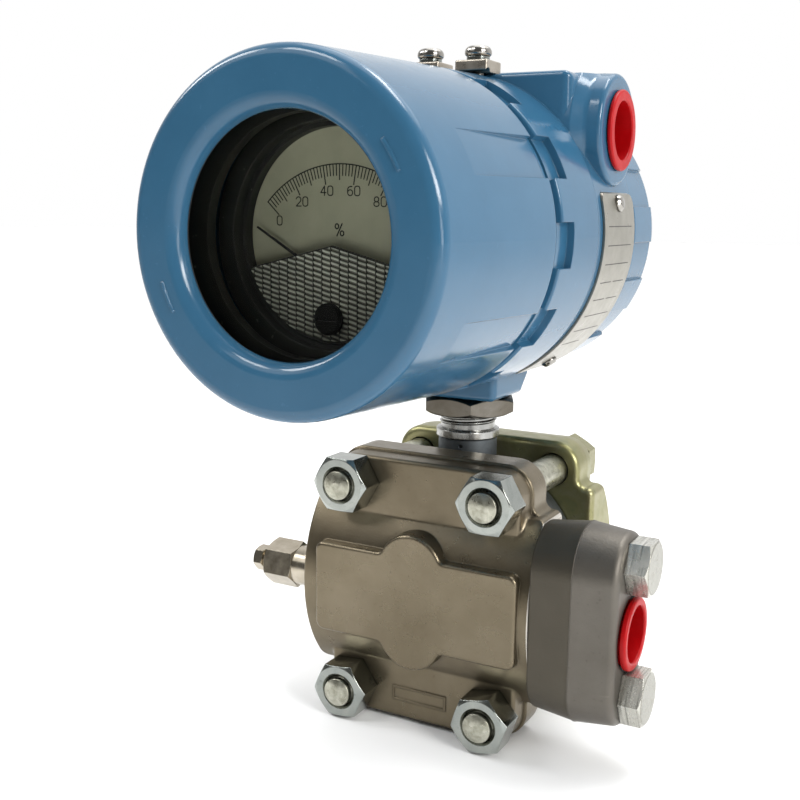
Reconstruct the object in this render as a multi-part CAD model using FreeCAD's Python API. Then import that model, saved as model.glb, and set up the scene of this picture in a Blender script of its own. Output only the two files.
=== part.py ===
import FreeCAD, Part
import math
import os

os.makedirs("parts", exist_ok=True)
V = FreeCAD.Vector

# ---------------------------------------------------------------- dimensions
# Millimetres, +Z up, front of the transmitter towards -Y.
# Working origin: neck axis in X and Y, centre of the flange bolts in Z.
# The frame offset at the end puts the origin at the middle of the base.

# flange group
FLANGE_HALF_H = 45.8          # flange height is 91.6 (standing surface)
FLANGE_HALF_W = 35.4
FLANGE_CORNER_R = 9.6
FLANGE_IN_Y = 14.8            # clamped face of both flanges
FRONT_BAR_Y = -33.0           # nut seat of the front flange
REAR_BAR_Y = 30.0             # bolt-head seat of the rear flange
MID_HALF_X = 41.0             # middle body, end to end 82
MID_HALF_Z = 30.5
MID_ARC_R = 45.0              # middle bodies are barrel shaped
BLEND_R = 3.0                 # plate edge into middle body
END_R = 2.5                   # corners of the middle body ends
FRONT_MID_Y = -40.6
REAR_MID_Y = 37.5
PANEL_Y = -41.9
BOLT_X = 25.9
BOLT_Z = 35.85
BOLT_R = 5.45
BOLT_HOLE_R = 5.85
BOLT_END_R = 4.75
BOLT_TIP_Y = -44.6            # domed ends
BOLT_DOME_R = 11.0
BOLT_FLAT_R = 1.3
NUT_AF = 17.46
HEAD_AF = 15.9
PORT_Y = 27.0                 # port centres are 54 apart
PORT_Z_HALF = 20.65           # standard 41.3 spacing
TAP_R = 4.95                  # open tapped holes for a bracket
ADAPTER_TAP_R = 5.45          # holes filled by the adapter bolts
TAP_DEPTH = 16.0

# flange adapter, plug and vent valve
ADAPTER_X0 = 41.15
ADAPTER_MID_X = 54.7
ADAPTER_X1 = 68.5
ADAPTER_PORT_R = 10.2
ADAPTER_PORT_Z = -1.0
ADAPTER_HEAD_X = 75.6
ADAPTER_BOLT_AF = 15.875
PLUG_X1 = 70.9
VENT_AF = 14.3
VENT_HEX_X0 = -62.6
VENT_HEX_X1 = -50.8
VENT_CAP_X = -65.4
VENT_TIP_X = -69.2

# sensor module and neck
CELL_R = 37.5
CELL_HALF_Y = 14.6
NECK_R = 10.05
NECK_RING_R = 10.85
NECK_CORE_R = 9.3
NECK_TOP_Z = 78.0
LOCK_NUT_AF = 29.4
LOCK_NUT_Z0 = 56.4
LOCK_NUT_Z1 = 62.6

# housing
ZC = 116.8                    # height of the housing axis
RIM_Y = -43.7                 # front rim of the housing
RING_Y = -15.4                # rear edge of the front ring
REAR_RIM_Y = 22.0
RING_R0 = 48.5
RING_R1 = 49.3
BODY_R = 48.6
THREAD_BORE_R = 42.3
CAVITY_R = 41.0
GROOVE_R = 46.7               # groove behind the front ring
GROOVE_W = 1.5
NOTCHES = 12
NOTCH_DEG = 15.5
NOTCH_AT = -2.3
NOTCH_Y = -35.3
BLOCK_HALF_X = 38.5
BLOCK_TOP_Z = 165.8
BLOCK_Y1 = 20.0
ENTRY_Y = 4.0
ENTRY_Z = 149.2
ENTRY_BOSS_R = 17.0
ENTRY_FACE_X = 47.4
ENTRY_R = 10.2
ENTRY_WAY_R = 10.0            # clear way between the two entries
BOSS_HALF_X = 16.5
BOSS_Y0 = -15.5
BOSS_Y1 = 13.5
BOSS_Z = 63.0
PAD_Z = 165.4                 # milled seat of the earth clamps

# front cover
COVER_FACE_Y = -112.5
COVER_RIM_Y = -48.0
COVER_R0 = 46.1
COVER_R1 = 48.4
WINDOW_R = 31.0
LIP_ROUND = 3.9
COVER_ROUND = 3.5
DASH_R = 38.0                 # raised index dashes on the cover face
DASH_WIDE = 0.95
DASH_RISE = 0.4
DASHES = ((24.9, 37.8), (198.6, 211.3))
WINDOW_SEAT_Y = -107.9
SKIRT_R = 42.0
SKIRT_END_Y = -34.0
COLLAR_R = 46.0
COVER_RECESS_R = 46.8
COVER_RECESS_AT = 27.3
COVER_RECESS_DEG = 15.0

# rear cover
REAR_COVER_RIM_Y = 24.3
REAR_COVER_END_Y = 46.9
REAR_LUG_R = 48.05
REAR_BASE_R = 46.9
REAR_LUG_AT = 4.2
REAR_LUG_DEG = 14.2

# meter
DIAL_Y = -83.0
DIAL_R = 34.5
PIVOT_Z = 104.0
POINTER_L = 29.7
POINTER_REST_DEG = 150.0
MASK_Y = -86.0
MASK_PEAK_Z = 114.5
MASK_SLOPE_DEG = 14.0
KNOB_Z = 95.1
KNOB_R = 4.35


# ------------------------------------------------------------------- helpers
def cyl_x(r, x0, x1, y, z):
    return Part.makeCylinder(r, x1 - x0, V(x0, y, z), V(1, 0, 0))


def cyl_y(r, y0, y1, x=0.0, z=ZC):
    return Part.makeCylinder(r, y1 - y0, V(x, y0, z), V(0, 1, 0))


def cyl_z(r, z0, z1, x=0.0, y=0.0):
    return Part.makeCylinder(r, z1 - z0, V(x, y, z0), V(0, 0, 1))


def box(x0, x1, y0, y1, z0, z1):
    return Part.makeBox(x1 - x0, y1 - y0, z1 - z0, V(x0, y0, z0))


def round_wire(pts, place):
    """Closed outline of straight lines; each point is (a, b) or (a, b, corner radius)."""
    n = len(pts)
    corners = []
    for i in range(n):
        p = pts[i]
        r = p[2] if len(p) > 2 else 0.0
        px, py = p[0], p[1]
        ax, ay = pts[i - 1][0] - px, pts[i - 1][1] - py
        bx, by = pts[(i + 1) % n][0] - px, pts[(i + 1) % n][1] - py
        la, lb = math.hypot(ax, ay), math.hypot(bx, by)
        ax, ay, bx, by = ax / la, ay / la, bx / lb, by / lb
        if r <= 0:
            corners.append(((px, py), None, (px, py)))
            continue
        half = math.acos(max(-1.0, min(1.0, ax * bx + ay * by))) / 2.0
        d = r / math.tan(half)
        mx, my = ax + bx, ay + by
        lm = math.hypot(mx, my)
        k = r / math.sin(half) - r
        corners.append(((px + ax * d, py + ay * d),
                        (px + mx / lm * k, py + my / lm * k),
                        (px + bx * d, py + by * d)))
    edges = []
    for i in range(n):
        s, m, e = corners[i]
        ps = corners[i - 1][2]
        if math.hypot(ps[0] - s[0], ps[1] - s[1]) > 1e-6:
            edges.append(Part.makeLine(place(*ps), place(*s)))
        if m is not None:
            edges.append(Part.Arc(place(*s), place(*m), place(*e)).toShape())
    return Part.Wire(edges)


def rev_y(pts, x=0.0, z=ZC):
    """Profile of (radius, y[, corner radius]) turned about an axis along Y."""
    w = round_wire(pts, lambda a, b: V(x + a, b, z))
    return Part.Face(w).revolve(V(x, 0, z), V(0, 1, 0), 360)


def rev_x(pts, y, z):
    """Profile of (radius, x[, corner radius]) turned about an axis along X."""
    w = round_wire(pts, lambda a, b: V(b, y, z + a))
    return Part.Face(w).revolve(V(0, y, z), V(1, 0, 0), 360)


def rev_z(pts, x=0.0, y=0.0):
    """Profile of (radius, z[, corner radius]) turned about an axis along Z."""
    w = round_wire(pts, lambda a, b: V(x + a, y, b))
    return Part.Face(w).revolve(V(x, y, 0), V(0, 0, 1), 360)


def ext_y(pts, y0, y1):
    """Outline of (x, z[, corner radius]) extruded along Y."""
    w = round_wire(pts, lambda a, b: V(a, y0, b))
    return Part.Face(w).extrude(V(0, y1 - y0, 0))


def ext_x(pts, x0, x1):
    """Outline of (y, z[, corner radius]) extruded along X."""
    w = round_wire(pts, lambda a, b: V(x0, a, b))
    return Part.Face(w).extrude(V(x1 - x0, 0, 0))


def ext_z(pts, z0, z1):
    """Outline of (x, y[, corner radius]) extruded along Z."""
    w = round_wire(pts, lambda a, b: V(a, b, z0))
    return Part.Face(w).extrude(V(0, 0, z1 - z0))


def sector(r0, y0, y1, mid_deg, wide_deg, reach=70.0):
    """Wedge about the housing axis, outside radius r0."""
    a0 = math.radians(mid_deg - wide_deg / 2.0)
    a1 = math.radians(mid_deg + wide_deg / 2.0)
    am = (a0 + a1) / 2.0
    pts = [V(0, y0, ZC)]
    for a in (a0, am, a1):
        pts.append(V(reach * math.cos(a), y0, ZC + reach * math.sin(a)))
    pts.append(pts[0])
    w = Part.Face(Part.makePolygon(pts)).extrude(V(0, y1 - y0, 0))
    return w.cut(cyl_y(r0, y0 - 1, y1 + 1))


def rounded(shape, r, pick):
    """Fillet the picked edges; the plain shape is kept where a fillet cannot be made."""
    edges = [e for e in shape.Edges if pick(e)]
    if not edges:
        return shape
    try:
        s = shape.makeFillet(r, edges)
        if s.isValid() and s.Volume > 0:
            return s
    except Exception:
        pass
    return shape


def on_y(y, tol=1e-4):
    return lambda e: abs(e.BoundBox.YMin - y) < tol and abs(e.BoundBox.YMax - y) < tol


def on_x(x, tol=1e-4):
    return lambda e: abs(e.BoundBox.XMin - x) < tol and abs(e.BoundBox.XMax - x) < tol


def hexagon(af, h, phase=0.0, top=True, bottom=False, hole=0.0, sink=0.0):
    """Hex prism along +Z from z = 0, with turned corner chamfers."""
    rc = af / math.sqrt(3.0)
    pts = []
    for i in range(6):
        a = math.radians(phase + 60 * i)
        pts.append(V(rc * math.cos(a), rc * math.sin(a), 0))
    pts.append(pts[0])
    s = Part.Face(Part.makePolygon(pts)).extrude(V(0, 0, h))
    drop = (rc + 0.5 - af / 2 * 0.97) * math.tan(math.radians(30))
    prof = [(0, 0)]
    if bottom:
        prof += [(af / 2 * 0.97, 0), (rc + 0.5, drop)]
    else:
        prof += [(rc + 0.5, 0)]
    if top:
        prof += [(rc + 0.5, h - drop), (af / 2 * 0.97, h)]
    else:
        prof += [(rc + 0.5, h)]
    prof += [(0, h)]
    s = s.common(rev_z(prof))
    if hole > 0:
        s = s.cut(cyl_z(hole, -1, h + 1))
        if sink > hole:
            for z0, z1, r0, r1 in ((h - (sink - hole), h + 0.01, hole, sink + 0.01),
                                   (-0.01, sink - hole, sink + 0.01, hole)):
                s = s.cut(Part.makeCone(r0, r1, z1 - z0, V(0, 0, z0), V(0, 0, 1)))
    return s


def aim(shape, way, x, y, z):
    """Turn a shape built along +Z to point along another axis, then move it."""
    s = shape.copy()
    o = V(0, 0, 0)
    if way == "+X":
        s.rotate(o, V(0, 1, 0), 90)
    elif way == "-X":
        s.rotate(o, V(0, 1, 0), -90)
    elif way == "+Y":
        s.rotate(o, V(1, 0, 0), -90)
    elif way == "-Y":
        s.rotate(o, V(1, 0, 0), 90)
    s.translate(V(x, y, z))
    return s


def polar(r, deg):
    a = math.radians(deg)
    return r * math.cos(a), ZC + r * math.sin(a)


NODES = {}


def node(name, *solids):
    NODES[name] = solids[0] if len(solids) == 1 else Part.makeCompound(list(solids))


# ------------------------------------------------------------- sensor module
cell = rev_y([(0, -CELL_HALF_Y), (CELL_R, -CELL_HALF_Y, 1.2), (CELL_R, CELL_HALF_Y, 1.2), (0, CELL_HALF_Y)], 0, 0)
# weld beads of the two diaphragm halves
cell = cell.fuse(rev_y([(CELL_R - 1.0, -4.2), (CELL_R + 0.5, -3.4), (CELL_R + 0.5, 3.4), (CELL_R - 1.0, 4.2)], 0, 0))
# process diaphragm recesses
for s in (-1, 1):
    cell = cell.cut(cyl_y(23.0, min(s * 13.4, s * 15.0), max(s * 13.4, s * 15.0), 0, 0))
neck = rev_z([(0, 30), (NECK_R, 30), (NECK_R, 47.9), (NECK_RING_R, 48.3, 0.3), (NECK_RING_R, 50.9, 0.3), (NECK_CORE_R, 51.3),
              (NECK_CORE_R, NECK_TOP_Z - 1.0), (NECK_CORE_R - 1.0, NECK_TOP_Z), (0, NECK_TOP_Z)])
collar = rev_z([(0, 30), (13.2, 30), (13.2, 38.6, 0.8), (NECK_R, 40.2), (0, 40.2)])
module = cell.fuse(collar).fuse(neck).removeSplitter()
module = module.cut(cyl_z(6.0, 58, NECK_TOP_Z + 1))
# small pin hole in the plain part of the neck
module = module.cut(Part.makeCylinder(0.7, 3.0, V(2.4, -11.5, 45.8), V(-0.24, 0.97, 0)))
node("sensor_module", module)


# ------------------------------------------------------------------- flanges
def plate_wire(y, inset):
    w, h, r = FLANGE_HALF_W - inset, FLANGE_HALF_H - inset, FLANGE_CORNER_R - inset
    return round_wire([(-w, -h, r), (w, -h, r), (w, h, r), (-w, h, r)], lambda a, b: V(a, y, b))


def cross_wire(y):
    """Plate outline with the two ends of the middle body, inner and outer corners blended."""
    w, h, r = FLANGE_HALF_W, FLANGE_HALF_H, FLANGE_CORNER_R
    m, k = MID_HALF_X, MID_HALF_Z
    half = [(w, -h, r), (w, -k, BLEND_R), (m, -k, END_R), (m, k, END_R), (w, k, BLEND_R), (w, h, r)]
    return round_wire(half + [(-a, -b, c) for a, b, c in half], lambda a, b: V(a, y, b))


def flange(side, bar_y, mid_y, parting_y, step, inset, soft):
    """Stepped plate plus the long barrel-shaped middle body, side -1 front, +1 rear."""
    y_in = side * FLANGE_IN_Y
    y_mid = y_in + side * 3.5
    slab = Part.Face(cross_wire(y_in)).extrude(V(0, parting_y - y_in, 0))
    if soft > 0:
        slab = rounded(slab, soft, on_y(y_in))
    if step > 0.5:
        slab = rounded(slab, step * 0.8, on_y(parting_y))
    rim = Part.makeLoft([plate_wire(parting_y, step), plate_wire(bar_y, inset)], True, True)
    rim = rounded(rim, 1.3, on_y(bar_y))
    yc = mid_y - side * MID_ARC_R
    ye = yc + side * math.sqrt(MID_ARC_R ** 2 - MID_HALF_Z ** 2)
    x0 = -MID_HALF_X
    outline = Part.Wire([Part.makeLine(V(x0, y_mid, MID_HALF_Z), V(x0, y_mid, -MID_HALF_Z)),
                         Part.makeLine(V(x0, y_mid, -MID_HALF_Z), V(x0, ye, -MID_HALF_Z)),
                         Part.Arc(V(x0, ye, -MID_HALF_Z), V(x0, mid_y, 0), V(x0, ye, MID_HALF_Z)).toShape(),
                         Part.makeLine(V(x0, ye, MID_HALF_Z), V(x0, y_mid, MID_HALF_Z))])
    mid = Part.Face(outline).extrude(V(2 * MID_HALF_X, 0, 0))
    mid = rounded(mid, END_R, lambda e: e.BoundBox.XLength < 0.01 and e.BoundBox.ZLength < 0.01 and e.BoundBox.YLength > 3)
    mid = rounded(mid, 0.6, lambda e: e.BoundBox.YLength > 0.01 and not on_y(y_mid)(e) and
                  (abs(e.BoundBox.XMax) > MID_HALF_X - END_R or abs(e.BoundBox.XMin) > MID_HALF_X - END_R) and e.BoundBox.ZLength > 0.01)
    return slab.fuse(rim), mid


f_rim, f_mid = flange(-1, FRONT_BAR_Y, FRONT_MID_Y, -25.5, 0.9, 1.3, 0.0)
# raised panel with its round lobes
panel = ext_y([(-35.5, -15.3, 3), (37.2, -15.3, 3), (37.2, 15.3, 3), (-35.5, 15.3, 3)], PANEL_Y, -33.5)
for s in (-1, 1):
    panel = panel.fuse(cyl_y(11.5, PANEL_Y, -33.5, 0.3, s * 11.2))
panel = panel.removeSplitter()
panel = rounded(panel, 2.2, lambda e: e.BoundBox.YLength > 5 and e.BoundBox.XLength < 0.01 and e.BoundBox.ZLength < 0.01 and
                abs(abs(e.BoundBox.XMin - 0.3) - 10.75) < 0.4 and abs(abs(e.BoundBox.ZMin) - 15.3) < 0.2)
panel = rounded(panel, 1.1, on_y(PANEL_Y))
front = f_rim.fuse(f_mid).removeSplitter()
front = rounded(front, 1.6, lambda e: e.BoundBox.XLength > 30 and e.BoundBox.YLength < 0.01 and
                e.BoundBox.ZLength < 0.01 and abs(abs(e.BoundBox.ZMin) - 25.0) < 1.2 and e.BoundBox.YMin < -31)
front = front.fuse(panel)
frame_mark = ext_y([(-10, -38.4), (10, -38.4), (10, -33.3), (-10, -33.3)], FRONT_BAR_Y - 0.4, FRONT_BAR_Y + 0.5)
frame_mark = frame_mark.cut(ext_y([(-9.3, -37.7), (9.3, -37.7), (9.3, -34.0), (-9.3, -34.0)], FRONT_BAR_Y - 1, FRONT_BAR_Y + 1))
front = front.fuse(frame_mark)
for sx in (-1, 1):
    for sz in (-1, 1):
        front = front.cut(cyl_y(BOLT_HOLE_R, -45, -10, sx * BOLT_X, sz * BOLT_Z))
    for sz in (-1, 1):
        if sx < 0:
            hole = cyl_x(TAP_R, -MID_HALF_X - 1, -MID_HALF_X + TAP_DEPTH, -PORT_Y, sz * PORT_Z_HALF)
        else:
            hole = cyl_x(ADAPTER_TAP_R, MID_HALF_X - TAP_DEPTH, MID_HALF_X + 1, -PORT_Y, sz * PORT_Z_HALF)
        front = front.cut(hole)
front = front.cut(cyl_x(6.2, -MID_HALF_X - 1, -27.0, -PORT_Y, 0))          # vent valve thread
front = front.cut(cyl_x(3.0, -28.0, 1.0, -PORT_Y, 0))
front = front.cut(cyl_x(4.5, -1.0, MID_HALF_X + 1, -PORT_Y, 0))            # process port
front = front.cut(cyl_y(4.0, -PORT_Y, -16.0, 0, 0))
front = front.cut(cyl_y(24.0, -17.3, -14.0, 0, 0))                          # pressure chamber
front = front.cut(cyl_y(30.6, -17.2, -14.0, 0, 0).cut(cyl_y(27.4, -18, -13, 0, 0)))
node("front_process_flange", front)

r_rim, r_mid = flange(1, REAR_BAR_Y, REAR_MID_Y, 24.5, 0.0, 0.6, 2.2)
rear = r_rim.fuse(r_mid).removeSplitter()
for sx in (-1, 1):
    for sz in (-1, 1):
        rear = rear.cut(cyl_y(BOLT_HOLE_R, 10, 40, sx * BOLT_X, sz * BOLT_Z))
rear = rear.cut(cyl_y(24.0, 14.0, 17.3, 0, 0))
rear = rear.cut(cyl_y(30.6, 14.0, 17.2, 0, 0).cut(cyl_y(27.4, 13, 18, 0, 0)))
node("rear_blank_flange", rear)

rings = []
for s in (-1, 1):
    a, b = sorted((s * 14.62, s * 17.15))
    rings.append(rev_y([(27.6, a, 0.8), (30.4, a, 0.8), (30.4, b, 0.8), (27.6, b, 0.8)], 0, 0))
node("process_o_rings", *rings)

# bolts from the rear, nuts in front
bolts, nuts = [], []
head = hexagon(HEAD_AF, 7.1, 30.0, True, False)
NUT_TURN = {(-1, 1): 0.0, (1, 1): 0.0, (-1, -1): 5.0, (1, -1): 12.0}
for sx in (-1, 1):
    for sz in (-1, 1):
        x, z = sx * BOLT_X, sz * BOLT_Z
        low, high = math.asin(BOLT_FLAT_R / BOLT_DOME_R), math.asin(BOLT_END_R / BOLT_DOME_R)
        at = lambda r, y: V(x + r, y, z)
        dome = [at(BOLT_DOME_R * math.sin(t), BOLT_TIP_Y + BOLT_DOME_R * (math.cos(low) - math.cos(t))) for t in (low, (low + high) / 2, high)]
        ends = [dome[2], at(BOLT_END_R, -41.8), at(BOLT_R, -41.1), at(BOLT_R, 31.0), at(0, 31.0), at(0, BOLT_TIP_Y), dome[0]]
        edges = [Part.Arc(*dome).toShape()] + [Part.makeLine(ends[k], ends[k + 1]) for k in range(6)]
        shank = Part.Face(Part.Wire(edges)).revolve(V(x, 0, z), V(0, 1, 0), 360)
        bolts.append(shank.fuse(aim(head, "+Y", x, REAR_BAR_Y + 0.05, z)))
        nut = hexagon(NUT_AF, 9.5, NUT_TURN[(sx, sz)], True, False, BOLT_R + 0.05, BOLT_R + 0.75)
        nuts.append(aim(nut, "-Y", x, FRONT_BAR_Y - 0.05, z))
node("flange_bolts", *bolts)
node("flange_nuts", *nuts)


# ------------------------------------------------------------ flange adapter
def stadium(x, half_w, half_h):
    c = half_h - half_w
    y0 = -PORT_Y
    e = [Part.makeLine(V(x, y0 - half_w, -c), V(x, y0 - half_w, c)),
         Part.Arc(V(x, y0 - half_w, c), V(x, y0, half_h), V(x, y0 + half_w, c)).toShape(),
         Part.makeLine(V(x, y0 + half_w, c), V(x, y0 + half_w, -c)),
         Part.Arc(V(x, y0 + half_w, -c), V(x, y0, -half_h), V(x, y0 - half_w, -c)).toShape()]
    return Part.Wire(e)


inner = Part.makeLoft([stadium(ADAPTER_X0, 14.2, 30.3), stadium(ADAPTER_MID_X, 15.2, 31.9)], True, True)
outer = Part.makeLoft([stadium(ADAPTER_MID_X, 15.2, 31.9), stadium(ADAPTER_X1, 13.9, 30.4)], True, True)
outer = rounded(outer, 2.4, on_x(ADAPTER_X1))
inner = rounded(inner, 0.6, on_x(ADAPTER_X0))
adapter = inner.fuse(outer)
adapter = adapter.cut(cyl_x(ADAPTER_PORT_R, 50.0, ADAPTER_X1 + 1, -PORT_Y, ADAPTER_PORT_Z))
adapter = adapter.cut(Part.makeCone(ADAPTER_PORT_R, ADAPTER_PORT_R + 1.4, 1.5, V(ADAPTER_X1 - 1.4, -PORT_Y, ADAPTER_PORT_Z), V(1, 0, 0)))
adapter = adapter.cut(cyl_x(5.5, ADAPTER_X0 - 1, 51.0, -PORT_Y, 0))
adapter = adapter.cut(cyl_x(10.6, ADAPTER_X0 - 1, ADAPTER_X0 + 2.2, -PORT_Y, 0).cut(cyl_x(7.6, ADAPTER_X0 - 2, ADAPTER_X0 + 3, -PORT_Y, 0)))
for sz in (-1, 1):
    adapter = adapter.cut(cyl_x(5.75, ADAPTER_X0 - 1, ADAPTER_X1 + 1, -PORT_Y, sz * PORT_Z_HALF))
node("flange_adapter", adapter)
node("adapter_o_ring", rev_x([(7.8, 41.03, 0.7), (10.4, 41.03, 0.7), (10.4, 43.3, 0.7), (7.8, 43.3, 0.7)], -PORT_Y, 0))

ab = []
ahead = hexagon(ADAPTER_BOLT_AF, ADAPTER_HEAD_X - ADAPTER_X1 - 0.05, 30.0, True, False)
for sz in (-1, 1):
    z = sz * PORT_Z_HALF
    sh = rev_x([(0, 26.0), (4.3, 26.0), (5.35, 27.0), (5.35, ADAPTER_X1 + 0.5), (0, ADAPTER_X1 + 0.5)], -PORT_Y, z)
    ab.append(sh.fuse(aim(ahead, "+X", ADAPTER_X1 + 0.05, -PORT_Y, z)))
node("adapter_bolts", *ab)

node("adapter_plug", rev_x([(0, 57.0), (9.5, 57.0, 0.8), (9.9, 62.0), (9.9, 68.8), (11.35, 68.8, 0.6),
                            (11.35, PLUG_X1, 0.9), (8.75, PLUG_X1, 0.7), (8.6, 58.4), (0, 58.4)], -PORT_Y, ADAPTER_PORT_Z))

# ---------------------------------------------------------------- vent valve
seat = aim(hexagon(VENT_AF, VENT_HEX_X1 - VENT_HEX_X0, 13.0, True, True), "-X", VENT_HEX_X1, -PORT_Y, 0)
seat = seat.fuse(rev_x([(0, -52.0), (6.9, -52.0), (6.9, -43.2, 0.5), (6.1, -42.0), (6.1, -29.0), (5.3, -28.0), (0, -28.0)], -PORT_Y, 0))
seat = seat.cut(cyl_x(3.3, VENT_HEX_X0 - 1, -44.0, -PORT_Y, 0)).cut(cyl_x(1.6, -45.0, -27.0, -PORT_Y, 0))
seat = seat.cut(cyl_z(1.2, -12.0, 0.0, -57.0, -PORT_Y))
node("vent_valve_seat", seat)
stem = rev_x([(0, VENT_CAP_X - 0.5), (3.0, VENT_CAP_X - 0.5), (3.0, -47.6), (1.1, -45.6), (0, -45.6)], -PORT_Y, 0)
stem = stem.fuse(aim(hexagon(7.94, VENT_CAP_X - VENT_TIP_X, 20.0, True, True), "-X", VENT_CAP_X, -PORT_Y, 0))
node("vent_valve_stem", stem)

# ------------------------------------------------------------------ lock nut
ln = hexagon(LOCK_NUT_AF, LOCK_NUT_Z1 - LOCK_NUT_Z0, -2.0, True, True, 9.95, 11.0)
node("neck_lock_nut", aim(ln, "+Z", 0, 0, LOCK_NUT_Z0))

# ------------------------------------------------------- electronics housing
shell = rev_y([(0, RIM_Y), (RING_R0, RIM_Y, 0.8), (RING_R1, RING_Y, 0.5), (GROOVE_R, RING_Y + 0.1), (GROOVE_R, RING_Y + GROOVE_W),
               (BODY_R, RING_Y + GROOVE_W + 0.1, 0.3),               (BODY_R, REAR_RIM_Y, 0.8), (0, REAR_RIM_Y)])
block = box(-BLOCK_HALF_X, BLOCK_HALF_X, RING_Y - 0.4, BLOCK_Y1, 128.0, BLOCK_TOP_Z)
block = rounded(block, 3.0, lambda e: e.BoundBox.XLength < 0.01 and e.BoundBox.ZLength < 0.01 or
                (e.BoundBox.XLength < 0.01 and e.BoundBox.YLength < 0.01))
block = rounded(block, 1.6, lambda e: abs(e.BoundBox.ZMin - BLOCK_TOP_Z) < 0.01 and e.BoundBox.XLength > 30)
housing = shell.fuse(block)
for s in (-1, 1):
    prof = [(0, 30.0), (20.2, 30.0), (19.8, 38.6, 1.0), (ENTRY_BOSS_R + 0.3, 42.4, 3.0),
            (ENTRY_BOSS_R, ENTRY_FACE_X, 1.4), (0, ENTRY_FACE_X)]
    boss = rev_x([(p[0], s * p[1]) + tuple(p[2:]) for p in prof], ENTRY_Y, ENTRY_Z)
    over = box(-60, 60, -40, 40, BLOCK_TOP_Z, 180).cut(cyl_x(ENTRY_BOSS_R + 0.3, -60, 60, ENTRY_Y, ENTRY_Z))
    housing = housing.fuse(boss.cut(over))
neck_boss = ext_x([(BOSS_Y0, BOSS_Z, 1.5), (BOSS_Y1 - 6.0, BOSS_Z, 1.5), (BOSS_Y1, BOSS_Z + 6.0, 1.5),
                   (BOSS_Y1, 84.0), (BOSS_Y0, 84.0)], -BOSS_HALF_X, BOSS_HALF_X)
neck_boss = rounded(neck_boss, 2.2, lambda e: e.BoundBox.XLength < 0.01 and e.BoundBox.YLength < 0.01 and e.BoundBox.ZLength > 8)
housing = housing.fuse(neck_boss)
housing = housing.cut(box(-60, 60, REAR_RIM_Y, 60, 60, 200))
# flat seat of the earth clamps, milled into the ring
housing = housing.cut(ext_z([(-14.6, -22.6, 1.5), (14.6, -22.6, 1.5), (14.6, -9.0, 1.5), (-14.6, -9.0, 1.5)], PAD_Z, 175.0))
housing = housing.removeSplitter()
for k in range(NOTCHES):
    a = NOTCH_AT + 30.0 * k
    housing = housing.cut(sector(46.5, RIM_Y - 1, NOTCH_Y, a, NOTCH_DEG))
    housing = housing.cut(sector(47.0, 19.9, REAR_RIM_Y + 1, a + 21.0, 9.0))


def upper(shape, z):
    return shape.common(box(-60, 60, -60, 60, z, 200))


def lower(shape, z):
    return shape.common(box(-60, 60, -60, 60, 0, z))


hollow = cyl_y(THREAD_BORE_R, RIM_Y - 1, -30.0)
hollow = hollow.fuse(cyl_y(44.8, RIM_Y - 1, -40.9))
hollow = hollow.fuse(cyl_y(CAVITY_R, -31.0, -14.0))
hollow = hollow.fuse(lower(cyl_y(CAVITY_R, -15.0, 2.0), 131.0))
hollow = hollow.fuse(lower(cyl_y(40.0, 1.0, 10.5), 104.0))
housing = housing.cut(hollow)
back = cyl_y(THREAD_BORE_R, 14.5, REAR_RIM_Y + 1)
back = back.fuse(cyl_y(44.8, 19.2, REAR_RIM_Y + 1))
back = back.fuse(upper(cyl_y(40.0, 6.5, 15.0), 109.0))
back = back.fuse(upper(cyl_y(40.0, -9.5, 7.0), 136.0))
housing = housing.cut(back)
housing = housing.cut(cyl_x(ENTRY_WAY_R, -30.0, 30.0, ENTRY_Y, ENTRY_Z))
for s in (-1, 1):
    housing = housing.cut(cyl_x(ENTRY_R, min(s * 26.0, s * (ENTRY_FACE_X + 1)), max(s * 26.0, s * (ENTRY_FACE_X + 1)), ENTRY_Y, ENTRY_Z))
for s in (-1, 1):
    housing = housing.cut(Part.makeCone(ENTRY_R, ENTRY_R + 1.0, 1.1, V(s * (ENTRY_FACE_X - 1.0), ENTRY_Y, ENTRY_Z), V(s, 0, 0)))
housing = housing.cut(cyl_z(10.1, BOSS_Z - 1, 82.0))
FEED_Z = 124.0
housing = housing.cut(cyl_y(5.05, -5, 12, 0, FEED_Z))
STAND = ((-30.0, 120.0, 2.0), (30.0, 120.0, 2.0), (0.0, 148.0, -14.0))
for x, z, y in STAND:
    housing = housing.cut(cyl_y(1.55, y - 1, y + 3.4, x, z))
TB_SCREW_X = 23.4
TB_SCREW_Z = 90.4
TB_Z = 104.0
CLAMP_X = 8.25
CLAMP_Y = -16.5
CLAMP_TOP_Z = 169.25
for s in (-1, 1):
    housing = housing.cut(cyl_z(2.45, 157.0, 168.0, s * CLAMP_X, CLAMP_Y))
    housing = housing.cut(cyl_y(1.55, 12.2, 15.0, s * TB_SCREW_X, TB_SCREW_Z))
PLATE_SCREWS = (12.0, -57.0)
PLATE_SCREW_Y = 4.65
for a in PLATE_SCREWS:
    x, z = polar(44.2, a)
    d = V(math.cos(math.radians(a)), 0, math.sin(math.radians(a)))
    housing = housing.cut(Part.makeCylinder(1.45, 8.0, V(x, PLATE_SCREW_Y, z), d))
node("electronics_housing", housing)

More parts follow.
